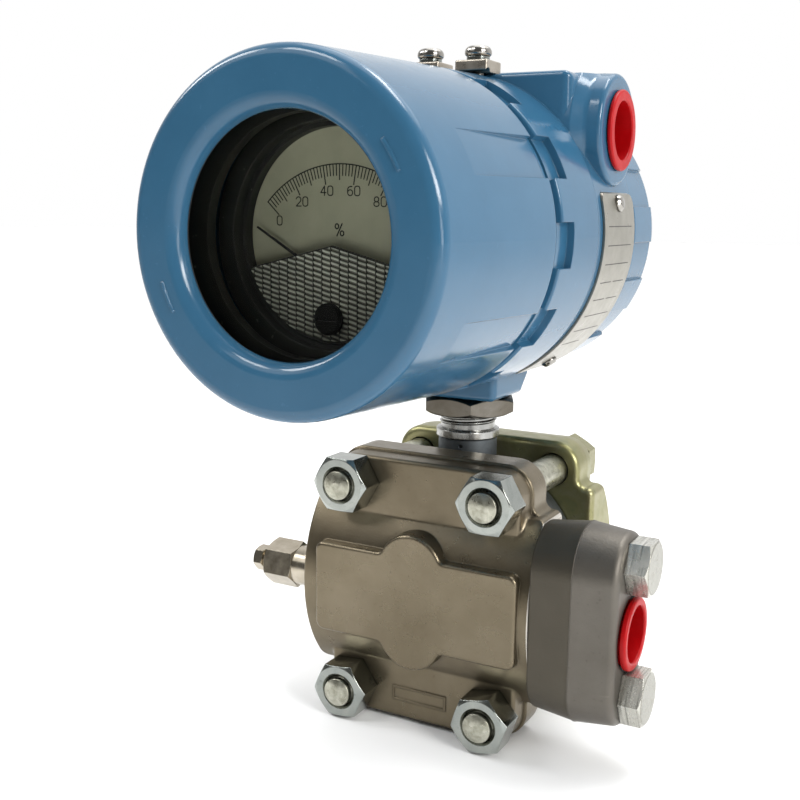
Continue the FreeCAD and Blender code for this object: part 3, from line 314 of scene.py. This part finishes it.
def glass(name):
    m = bpy.data.materials.new(name)
    m.use_nodes = True
    nt = m.node_tree
    nt.nodes.clear()
    out = nt.nodes.new("ShaderNodeOutputMaterial")
    mix = nt.nodes.new("ShaderNodeMixShader")
    clear = nt.nodes.new("ShaderNodeBsdfTransparent")
    gloss = nt.nodes.new("ShaderNodeBsdfGlossy")
    fres = nt.nodes.new("ShaderNodeFresnel")
    fres.inputs["IOR"].default_value = 1.13
    tc = nt.nodes.new("ShaderNodeTexCoord")
    smear = noise(nt, tc.outputs["Object"], 60.0, 5.0, 0.65)
    nt.links.new(ramp(nt, smear, [(0.3, (0.90, 0.92, 0.91)), (0.7, (0.94, 0.96, 0.95))]), clear.inputs["Color"])
    nt.links.new(span(nt, smear, 0.02, 0.08), gloss.inputs["Roughness"])
    nt.links.new(fres.outputs["Fac"], mix.inputs["Fac"])
    nt.links.new(clear.outputs["BSDF"], mix.inputs[1])
    nt.links.new(gloss.outputs["BSDF"], mix.inputs[2])
    nt.links.new(mix.outputs["Shader"], out.inputs["Surface"])
    return m


PAINT = enamel("blue_enamel", (0.027, 0.101, 0.184), (0.030, 0.109, 0.196), (0.034, 0.117, 0.208))
FLANGE = cast_metal("cast_stainless", (0.142, 0.116, 0.076), (0.172, 0.143, 0.096), (0.212, 0.178, 0.125), 0.25, 0.37, 1500.0, 0.20, 0.85, smooth_y=P(0, -41.4, 0).y,
                    ends=(P(-40.6, 0, 0).x, P(40.6, 0, 0).x))
ADAPTER = cast_metal("cast_stainless_dark", (0.118, 0.107, 0.091), (0.140, 0.128, 0.110), (0.168, 0.154, 0.134), 0.40, 0.52, 1500.0, 0.26, 0.8,
                     split_x=P(54.7, 0, 0).x, shade=(0.090, 0.080, 0.062))
YZINC = plated_metal("yellow_zinc", [(0.22, (0.20, 0.222, 0.115)), (0.42, (0.275, 0.264, 0.125)), (0.58, (0.315, 0.298, 0.168)), (0.78, (0.325, 0.262, 0.165))], 0.27, 0.42, 0.90, 900.0, 0.0006, 110.0)
ZINC = plated_metal("bright_zinc", [(0.25, (0.25, 0.272, 0.258)), (0.5, (0.33, 0.35, 0.328)), (0.75, (0.405, 0.42, 0.39))], 0.13, 0.24)
BOLT_ZINC = bolt_metal("bolt_zinc", [(0.28, (0.27, 0.265, 0.21)), (0.5, (0.415, 0.41, 0.335)), (0.72, (0.58, 0.57, 0.49))], 0.24, 0.40, P(0, 29.5, 0).y, (0.27, 0.255, 0.13))
ZINC_X = turned_metal("rolled_zinc", (0.56, 0.55, 0.495), (0.67, 0.66, 0.605), 0.20, 0.32, "X", 0.80, 0.3, coarse=1300.0, lines=True, cap=P(75.45, 0, 0).x)
STEEL_Z = turned_metal("turned_steel", (0.28, 0.28, 0.27), (0.42, 0.42, 0.405), 0.18, 0.32, "Z", dull_below=P(0, 0, 48.1).z, dull=(0.15, 0.165, 0.175))
STEEL_X = turned_metal("turned_steel_x", (0.37, 0.325, 0.25), (0.53, 0.48, 0.395), 0.14, 0.26, "X")
STEEL_Y = turned_metal("turned_steel_y", (0.48, 0.47, 0.45), (0.66, 0.65, 0.63), 0.22, 0.36, "Y")
NUT_STEEL = plated_metal("satin_steel", [(0.25, (0.098, 0.086, 0.068)), (0.5, (0.14, 0.126, 0.104)), (0.75, (0.19, 0.178, 0.158))], 0.15, 0.26)
PLATE = turned_metal("satin_sheet", (0.30, 0.287, 0.246), (0.365, 0.35, 0.305), 0.26, 0.38, "Y", 0.9, 0.10)
CHROME = plated_metal("polished_screw", [(0.25, (0.30, 0.285, 0.26)), (0.75, (0.45, 0.435, 0.405))], 0.10, 0.20)
NICKEL = plated_metal("dull_nickel", [(0.25, (0.34, 0.30, 0.245)), (0.5, (0.46, 0.415, 0.35)), (0.75, (0.56, 0.51, 0.44))], 0.24, 0.40)
RED = plastic("red_plug", [(0.3, (0.34, 0.001, 0.002)), (0.55, (0.395, 0.001, 0.003)), (0.8, (0.45, 0.003, 0.004))], 0.34, 0.46, 700.0, 0.05, 0.0, 0.0, 0.22)
BLACK = dusty_black("black_moulding")
KNOB = plastic("black_knob", [(0.3, (0.002, 0.002, 0.002)), (0.7, (0.004, 0.003, 0.003))], 0.40, 0.55, 1500.0, 0.05, 0.0, 0.0, 0.15)
RUBBER = plastic("seal_rubber", [(0.3, (0.008, 0.008, 0.008)), (0.7, (0.018, 0.018, 0.018))], 0.5, 0.7, 1500.0, 0.15)
DIAL = plastic("dial_face", [(0.25, (0.47, 0.44, 0.315)), (0.5, (0.52, 0.487, 0.35)), (0.75, (0.57, 0.535, 0.39))], 0.42, 0.58, 1800.0, 0.05)
# the movement cover's flat plate face, between and around the louvres, gets the near-black end of this ramp: painted
# shade
MASK = relief_metal("mask_silver", P(0, -86.98, 0).y, P(0, -87.62, 0).y)
INK = plastic("print_ink", [(0.3, (0.020, 0.018, 0.016)), (0.7, (0.036, 0.033, 0.030))], 0.5, 0.65, 2000.0, 0.03)
RULE = plastic("etched_rule", [(0.3, (0.030, 0.028, 0.026)), (0.7, (0.060, 0.056, 0.050))], 0.45, 0.6, 2000.0, 0.03)
POINTER = plastic("pointer_paint", [(0.3, (0.006, 0.006, 0.006)), (0.7, (0.014, 0.014, 0.014))], 0.35, 0.5, 1500.0, 0.04)
BOARD = plastic("solder_mask", [(0.3, (0.010, 0.060, 0.022)), (0.5, (0.016, 0.095, 0.035)), (0.8, (0.030, 0.130, 0.050))], 0.25, 0.45, 600.0, 0.12)
PHENOLIC = plastic("phenolic", [(0.3, (0.020, 0.011, 0.008)), (0.7, (0.048, 0.026, 0.018))], 0.35, 0.55)
MAGNET = cast_metal("sintered_iron", (0.06, 0.06, 0.065), (0.10, 0.10, 0.105), (0.15, 0.15, 0.155), 0.45, 0.6, 1500.0, 0.3)
COPPER = turned_metal("coil_wire", (0.50, 0.22, 0.10), (0.66, 0.33, 0.17), 0.25, 0.4, "Y")
GLASS = glass("window_glass")

LOOK = {
    "sensor_module": STEEL_Z, "front_process_flange": FLANGE, "rear_blank_flange": YZINC, "process_o_rings": RUBBER,
    "flange_bolts": BOLT_ZINC, "flange_nuts": ZINC, "flange_adapter": ADAPTER, "adapter_o_ring": RUBBER, "adapter_bolts": ZINC_X,
    "adapter_plug": RED, "vent_valve_seat": STEEL_X, "vent_valve_stem": STEEL_X, "neck_lock_nut": NUT_STEEL,
    "electronics_housing": PAINT, "nameplate": PLATE, "nameplate_screws": CHROME, "earth_clamp_blocks": NICKEL,
    "earth_clamp_washers": ZINC, "earth_clamp_screws": CHROME, "conduit_plug": RED, "amplifier_board": BOARD,
    "calibration_board": BOARD, "board_standoffs": STEEL_Y, "board_spacers": STEEL_Y, "board_screws": ZINC,
    "feedthrough": STEEL_Y, "terminal_block": PHENOLIC, "terminal_screws": CHROME, "terminal_block_screws": ZINC,
    "meter_posts": STEEL_Y, "meter_case": BLACK, "meter_bezel": BLACK, "meter_dial": DIAL, "movement_cover": MASK,
    "meter_magnet": MAGNET, "pointer": POINTER, "pointer_coil": COPPER, "zero_adjust_knob": KNOB, "front_cover": PAINT,
    "window_gasket": RUBBER, "cover_glass": GLASS, "glass_retaining_ring": BLACK, "front_cover_o_ring": RUBBER,
    "rear_cover": PAINT, "rear_cover_o_ring": RUBBER,
}
for name, material in LOOK.items():
    o = NODES[name]
    if not o.material_slots:
        o.data.materials.append(material)
    for s in o.material_slots:
        s.material = material


# ------------------------------------------------------------- added geometry
def piece(name, bm, material, body, smooth_deg=None):
    me = bpy.data.meshes.new(name)
    bmesh.ops.recalc_face_normals(bm, faces=bm.faces)
    bm.to_mesh(me)
    bm.free()
    if smooth_deg is not None:
        for f in me.polygons:
            f.use_smooth = True
        me.set_sharp_from_angle(angle=math.radians(smooth_deg))
    me.materials.append(material)
    o = bpy.data.objects.new(name, me)
    bpy.context.scene.collection.objects.link(o)
    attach(o, body)
    return o


def prism(bm, outline, y0, y1):
    """Closed prism from an outline of (x, z) in the dial plane, between two depths."""
    a = [bm.verts.new(P(x, y0, z)) for x, z in outline]
    b = [bm.verts.new(P(x, y1, z)) for x, z in outline]
    n = len(outline)
    bm.faces.new(a)
    bm.faces.new(list(reversed(b)))
    for i in range(n):
        j = (i + 1) % n
        bm.faces.new((a[j], a[i], b[i], b[j]))


# dial print: arc line, graduations
DIAL_Y = -83.0
PIVOT_Z = 104.0
SCALE_R = 31.8
INK_Y = DIAL_Y - 0.05


def scale_deg(percent):
    return 137.0 - 94.0 * percent / 100.0


def polar(r, deg):
    a = math.radians(deg)
    return r * math.cos(a), PIVOT_Z + r * math.sin(a)


bm = bmesh.new()
for k in range(51):
    pc = 2.0 * k
    long = 5.1 if k % 10 == 0 else (4.2 if k % 5 == 0 else 3.1)
    wide = 0.17 if k % 10 == 0 else 0.15
    d = scale_deg(pc)
    a = math.radians(d)
    ux, uz = math.cos(a), math.sin(a)
    px, pz = -uz, ux
    x0, z0 = polar(SCALE_R - long, d)
    x1, z1 = polar(SCALE_R, d)
    prism(bm, [(x0 - px * wide, z0 - pz * wide), (x1 - px * wide, z1 - pz * wide),
               (x1 + px * wide, z1 + pz * wide), (x0 + px * wide, z0 + pz * wide)], INK_Y, DIAL_Y + 0.02)
N = 96
line = []
for k in range(N + 1):
    d = scale_deg(-0.4) + (scale_deg(100.4) - scale_deg(-0.4)) * k / N
    line.append((polar(SCALE_R - 0.17, d), polar(SCALE_R + 0.17, d)))
for k in range(N):
    (a0, a1), (b0, b1) = line[k], line[k + 1]
    prism(bm, [a0, b0, b1, a1], INK_Y - 0.005, DIAL_Y + 0.02)
piece("dial_scale_print", bm, INK, "housing")


def strokes(bm, paths, x, z, size, half, slant=0.0):
    """Engraver's single-stroke figures: paths in a 1 x 1.45 cell, drawn as narrow bars with round joints."""
    for path in paths:
        pts = [(x + (u + slant * v) * size, z + v * size) for u, v in path]
        for i in range(len(pts) - 1):
            (ax, az), (bx, bz) = pts[i], pts[i + 1]
            l = math.hypot(bx - ax, bz - az)
            if l < 1e-6:
                continue
            dx, dz = (bx - ax) / l, (bz - az) / l
            nx, nz = -dz * half, dx * half
            ring = []
            for c, base in ((1, 0.0), (0, math.pi)):
                cx, cz = (bx, bz) if c else (ax, az)
                a0 = math.atan2(dz, dx) - math.pi / 2 + base
                for s in range(5):
                    a = a0 + math.pi * s / 4
                    ring.append((cx + half * math.cos(a), cz + half * math.sin(a)))
            prism(bm, ring, INK_Y - 0.0004 * (i % 3), DIAL_Y + 0.02)


def arc(cx, cz, rx, rz, a0, a1, n=10):
    return [(cx + rx * math.cos(math.radians(a0 + (a1 - a0) * k / n)), cz + rz * math.sin(math.radians(a0 + (a1 - a0) * k / n)))
            for k in range(n + 1)]


def box_round(w, h, r, n=4):
    """Rounded box outline as a closed path, lower left at 0, 0."""
    p = []
    for cx, cz, a in ((w - r, r, -90), (w - r, h - r, 0), (r, h - r, 90), (r, r, 180)):
        p += arc(cx, cz, r, r, a, a + 90, n)
    return p + [p[0]]


FIG = {
    "0": [box_round(0.92, 1.4, 0.36)],
    "1": [[(0.2, 1.1), (0.5, 1.4), (0.5, 0.0)]],
    "2": [arc(0.46, 0.97, 0.44, 0.43, 165, 0, 9) + [(0.86, 0.78), (0.04, 0.0), (0.92, 0.0)]],
    "4": [[(0.68, 0.0), (0.68, 1.4), (0.0, 0.42), (0.94, 0.42)]],
    "6": [[(0.78, 1.36), (0.5, 1.34)] + arc(0.5, 0.86, 0.47, 0.48, 95, 180, 6) + arc(0.47, 0.43, 0.44, 0.43, 180, 540, 16)],
    "8": [arc(0.46, 1.03, 0.38, 0.37, -90, 270, 16), arc(0.46, 0.35, 0.45, 0.35, 90, 450, 16)],
    "%": [arc(0.28, 1.1, 0.24, 0.28, 0, 360, 12), arc(0.98, 0.3, 0.24, 0.28, 0, 360, 12), [(0.98, 1.4), (0.28, 0.0)]],
}


def figures(bm, text, x, z, size, half, gap=0.32):
    w = sum(1.26 if c == "%" else 0.94 for c in text) + gap * (len(text) - 1)
    u = x - w * size / 2
    for c in text:
        strokes(bm, FIG[c], u, z - 0.7 * size, size, half)
        u += ((1.26 if c == "%" else 0.94) + gap) * size


bm = bmesh.new()
for text, x, z in (("0", -19.4, 120.7), ("20", -12.0, 125.9), ("40", -4.0, 128.8), ("60", 4.4, 128.8), ("80", 12.5, 126.1), ("100", 18.8, 120.9)):
    figures(bm, text, x, z, 1.75, 0.15)
figures(bm, "%", 0.0, 118.6, 2.3, 0.19)
piece("dial_figures_print", bm, INK, "housing")

# relief of the movement cover: columns of small slanted louvres
MASK_FRONT = -87.0
ROOF = math.tan(math.radians(14.0))
CLIP = [(27.7 * math.cos(math.radians(a)), ZC + 27.7 * math.sin(math.radians(a))) for a in range(0, 360, 6)]


def clip(poly, inside, cut):
    out = []
    for i in range(len(poly)):
        a, b = poly[i - 1], poly[i]
        ia, ib = inside(a), inside(b)
        if ia:
            if not ib:
                out.append(cut(a, b))
            else:
                pass
        if ib:
            if not ia:
                out.append(cut(a, b))
            out.append(b)
    return out


def clip_line(poly, n, c):
    """Keep the side where n . p <= c."""
    f = lambda p: n[0] * p[0] + n[1] * p[1] - c

    def cut(a, b):
        fa, fb = f(a), f(b)
        t = fa / (fa - fb)
        return (a[0] + (b[0] - a[0]) * t, a[1] + (b[1] - a[1]) * t)

    return clip(poly, lambda p: f(p) <= 1e-9, cut)


bm = bmesh.new()
COL, ROW, RIDGE, RISE = 2.77, 1.38, 0.76, 0.62
SLANT = math.tan(math.radians(-14.0))
for i in range(-11, 11):
    cx = (i + 0.5) * COL
    for j in range(-4, 27):
        z0 = 84.0 + j * ROW + (0.45 if i % 2 else 0.0)
        w, h = COL * 0.5 - 0.22, ROW - 0.04
        cell = [(cx - w, z0 - w * SLANT), (cx + w, z0 + w * SLANT), (cx + w, z0 + w * SLANT + h), (cx - w, z0 - w * SLANT + h)]
        if min(math.hypot(x, z - 95.1) for x, z in cell) < 2.2:
            continue
        for n, c in (((ROOF, 1.0), 114.1), ((-ROOF, 1.0), 114.1)):
            cell = clip_line(cell, n, c) if cell else cell
        for a in range(0, 360, 10):
            u, v = math.cos(math.radians(a)), math.sin(math.radians(a))
            cell = clip_line(cell, (u, v), 27.6 + v * ZC) if cell else cell
        if len(cell) < 3:
            continue
        # lower flank rises to the ridge, upper flank falls back
        ridge_c = z0 + h * RIDGE - cx * SLANT
        for part, sign in ((0, 1.0), (1, -1.0)):
            poly = clip_line(cell, (-SLANT * sign, 1.0 * sign), ridge_c * sign)
            if len(poly) < 3:
                continue
            size = 0.5 * abs(sum(poly[k - 1][0] * poly[k][1] - poly[k][0] * poly[k - 1][1] for k in range(len(poly))))
            if size < 0.05:
                continue
            top, low = [], []
            for x, z in poly:
                t = (z - z0 - (x - cx) * SLANT) / h
                f = t / RIDGE if part == 0 else (1.0 - t) / (1.0 - RIDGE)
                top.append(bm.verts.new(P(x, MASK_FRONT - 0.03 - RISE * max(0.0, min(1.0, f)), z)))
                low.append(bm.verts.new(P(x, MASK_FRONT + 0.03, z)))
            n = len(poly)
            bm.faces.new(top)
            bm.faces.new(list(reversed(low)))
            for k in range(n):
                q = (k + 1) % n
                bm.faces.new((top[q], top[k], low[k], low[q]))
piece("movement_cover_relief", bm, MASK, "housing")


# neck thread
def helix_thread(bm, r_root, r_crest, z0, z1, pitch, place, per_turn=48, flat=0.14, left=False):
    """Trapezoid ridge wound on a cylinder: place(r, angle, along) gives the point."""
    turns = (z1 - z0) / pitch
    steps = int(turns * per_turn)
    rows = []
    for s in range(steps + 1):
        a = 2 * math.pi * s / per_turn * (-1 if left else 1)
        z = z0 + pitch * s / per_turn
        fade = min(1.0, s / (per_turn * 0.35), (steps - s) / (per_turn * 0.35))
        rc = r_root + (r_crest - r_root) * fade
        row = [bm.verts.new(place(r_root, a, z - pitch * 0.45)), bm.verts.new(place(rc, a, z - pitch * flat * 0.5)),
               bm.verts.new(place(rc, a, z + pitch * flat * 0.5)), bm.verts.new(place(r_root, a, z + pitch * 0.45))]
        rows.append(row)
    for s in range(steps):
        a, b = rows[s], rows[s + 1]
        for k in range(4):
            q = (k + 1) % 4
            bm.faces.new((a[k], a[q], b[q], b[k]))
    bm.faces.new(rows[0])
    bm.faces.new(list(reversed(rows[-1])))


bm = bmesh.new()
helix_thread(bm, 9.2, 9.82, 52.2, 76.4, 1.81, lambda r, a, z: P(r * math.cos(a), r * math.sin(a), z), 64)
piece("neck_thread", bm, STEEL_Z, "sensor", 35)

# thread of the open cable entry
bm = bmesh.new()
helix_thread(bm, 10.25, 9.65, -45.6, -33.0, 1.81, lambda r, a, x: P(x, 4.0 + r * math.cos(a), 149.2 + r * math.sin(a)), 64)
piece("entry_thread", bm, PAINT, "housing", 35)

# thin parting line left by the mould around the adapter
bm = bmesh.new()
PART_X, PART_W, PART_H = 54.7, 15.2, 31.9
loop = []
for k in range(64):
    t = math.pi * (k + 0.5) / 32.0
    c, d = math.cos(t), math.sin(t)
    loop.append((PART_W * c, (PART_H - PART_W) * (1 if d > 0 else -1) + PART_W * d, c, d))
rows = []
for y, z, ny, nz in loop:
    row = []
    for x, out in ((-0.34, -0.12), (-0.12, 0.13), (0.12, 0.13), (0.34, -0.12)):
        row.append(bm.verts.new(P(PART_X + x, -27.0 + y + ny * out, z + nz * out)))
    rows.append(row)
for k in range(64):
    a, b = rows[k], rows[(k + 1) % 64]
    for q in range(4):
        w = (q + 1) % 4
        bm.faces.new((a[q], a[w], b[w], b[q]))
piece("adapter_parting_line", bm, ADAPTER, "sensor", 40)

# plain ruled lines on the nameplate
PLATE_R = 49.45


def plate_bar(bm, deg0, deg1, y0, y1):
    """Thin bar lying on the curved plate."""
    n = max(1, int(abs(deg1 - deg0) / 1.5))
    rows = []
    for k in range(n + 1):
        a = math.radians(deg0 + (deg1 - deg0) * k / n)
        rows.append([bm.verts.new(P(r * math.cos(a), y, ZC + r * math.sin(a)))
                     for r, y in ((PLATE_R - 0.03, y0), (PLATE_R + 0.03, y0), (PLATE_R + 0.03, y1), (PLATE_R - 0.03, y1))])
    for k in range(n):
        for q in range(4):
            w = (q + 1) % 4
            bm.faces.new((rows[k][q], rows[k][w], rows[k + 1][w], rows[k + 1][q]))
    bm.faces.new(rows[0])
    bm.faces.new(list(reversed(rows[-1])))


bm = bmesh.new()
FINE = 0.17
for deg, y0, y1 in ((3.6, -6.6, 16.0), (-3.2, -6.6, 16.0), (-10.0, -6.6, 16.0), (-16.8, -6.6, 3.6), (-16.8, 5.6, 16.0), (-23.6, -6.6, 3.6),
                    (-23.6, 5.6, 16.0), (-30.4, -6.6, 16.0), (-37.2, -6.6, 16.0), (-44.0, -6.6, 9.0)):
    plate_bar(bm, deg - FINE, deg + FINE, y0, y1)
piece("nameplate_rules", bm, RULE, "housing")

# ----------------------------------------------------------- stage and lights
world = bpy.data.worlds.new("studio")
bpy.context.scene.world = world
world.use_nodes = True
wt = world.node_tree
bg = wt.nodes["Background"]
bg.inputs["Strength"].default_value = 1.0
# bright above and behind, dim in front
way = wt.nodes.new("ShaderNodeTexCoord")
turn = wt.nodes.new("ShaderNodeMapping")
turn.inputs["Rotation"].default_value = (0.0, 0.0, math.radians(-90.0))
grad_turn = wt.nodes.new("ShaderNodeMapping")
grad_turn.inputs["Rotation"].default_value = (0.0, math.radians(12.0), 0.0)
grad_turn.inputs["Scale"].default_value = (0.5, 0.5, 0.5)
grad_turn.inputs["Location"].default_value = (0.5, 0.0, 0.0)
grad = wt.nodes.new("ShaderNodeTexGradient")
wt.links.new(way.outputs["Generated"], turn.inputs["Vector"])
wt.links.new(turn.outputs["Vector"], grad_turn.inputs["Vector"])
wt.links.new(grad_turn.outputs["Vector"], grad.inputs["Vector"])
wt.links.new(ramp(wt, grad.outputs["Fac"], [(0.0, (0.13, 0.13, 0.125)), (0.32, (0.14, 0.14, 0.135)), (0.50, (0.34, 0.345, 0.35)), (0.64, (0.64, 0.645, 0.65)),
                                            (0.80, (1.0, 1.0, 1.0))]), bg.inputs["Color"])

fm = bmesh.new()
bmesh.ops.create_grid(fm, x_segments=2, y_segments=2, size=6.0)
me = bpy.data.meshes.new("floor")
fm.to_mesh(me)
fm.free()
floor = bpy.data.objects.new("floor", me)
bpy.context.scene.collection.objects.link(floor)
m, nt, p, v = start("floor_paper", 0.0, 0.9, 1.45, 0.1)
paper = ramp(nt, noise(nt, v, 30.0, 4.0, 0.5), [(0.3, (0.965, 0.965, 0.965)), (0.7, (0.98, 0.98, 0.98))])
slew = nt.nodes.new("ShaderNodeMapping")
slew.inputs["Rotation"].default_value = (0.0, 0.0, math.radians(36.9))
nt.links.new(v, slew.inputs["Vector"])
# painted shade on the floor: toward the front left the paper colour falls to a grey, standing in for a dim front of the
# room
nt.links.new(blend(nt, span(nt, along(nt, slew.outputs["Vector"], "Y"), 1.0, 0.0, -0.60, -0.15), paper, (0.44, 0.43, 0.41)), p.inputs["Base Color"])
me.materials.append(m)


def sun(name, way, strength, angle, color=(1, 1, 1)):
    """Large soft source seen in one direction."""
    l = bpy.data.lights.new(name, "SUN")
    l.energy = strength
    l.angle = math.radians(angle)
    l.color = color
    o = bpy.data.objects.new(name, l)
    bpy.context.scene.collection.objects.link(o)
    o.rotation_euler = (-Vector(way)).to_track_quat("-Z", "Y").to_euler()
    return o


def strip(name, a, b, wide, radiance):
    """Long soft box between two points, facing the covers."""
    a, b = Vector(a), Vector(b)
    mid, run = (a + b) / 2, b - a
    l = bpy.data.lights.new(name, "AREA")
    l.shape = "RECTANGLE"
    l.size, l.size_y = run.length, wide
    l.energy = radiance * math.pi * run.length * wide
    o = bpy.data.objects.new(name, l)
    bpy.context.scene.collection.objects.link(o)
    z = (mid - P(0, -60, 100)).normalized()
    x = (run - z * run.dot(z)).normalized()
    y = z.cross(x)
    m = Matrix.Identity(4)
    for i in range(3):
        m[i][0], m[i][1], m[i][2] = x[i], y[i], z[i]
    m.translation = mid
    o.matrix_world = m
    return o


sun("key", (0.82, -0.30, 0.45), 1.4, 24.0, (1.0, 0.985, 0.96))
sun("top", (0.05, 0.45, 1.0), 1.12, 60.0)
strip("overhead_left", (-0.89, -0.05, 0.61), (-0.62, -0.36, 0.88), 0.20, 10.5)
strip("overhead_mid", (-0.50, -0.42, 0.96), (-0.20, -0.58, 0.99), 0.20, 10.5)
strip("overhead_right", (0.00, 0.44, 1.02), (0.41, 0.11, 1.06), 0.20, 10.5)
strip("front_fill", (-0.80, -0.50, 0.70), (-0.22, -0.84, 0.78), 0.38, 1.5)
strip("low_box", (0.98, -0.68, 0.36), (1.05, -0.36, 0.10), 0.20, 5.0)
strip("side_box", (0.80, -0.50, 0.58), (0.93, -0.11, 0.49), 0.18, 9.0)

# --------------------------------------------------------------------- camera
AZ, EL, ROLL = (math.radians(a) for a in (28.07, 10.85, -0.88))
back = Vector((math.sin(AZ) * math.cos(EL), -math.cos(AZ) * math.cos(EL), math.sin(EL)))
right = Vector((math.cos(AZ), math.sin(AZ), 0.0))
up = back.cross(right)
r2 = right * math.cos(ROLL) - up * math.sin(ROLL)
u2 = right * math.sin(ROLL) + up * math.cos(ROLL)
cam = bpy.data.cameras.new("view")
cam.sensor_fit = "HORIZONTAL"
cam.sensor_width = 36.0
cam.lens = 36.0 * 1082.21 / 800.0
cam.shift_x = -17.69 / 800.0
cam.shift_y = 15.97 / 800.0
cam.clip_start = 0.01
cam.clip_end = 50.0
co = bpy.data.objects.new("view", cam)
bpy.context.scene.collection.objects.link(co)
M = Matrix.Identity(4)
for i in range(3):
    M[i][0], M[i][1], M[i][2] = r2[i], u2[i], back[i]
M.translation = P(156.99, -331.43, 124.5)
co.matrix_world = M
bpy.context.scene.camera = co
bpy.context.scene.view_settings.view_transform = "Standard"
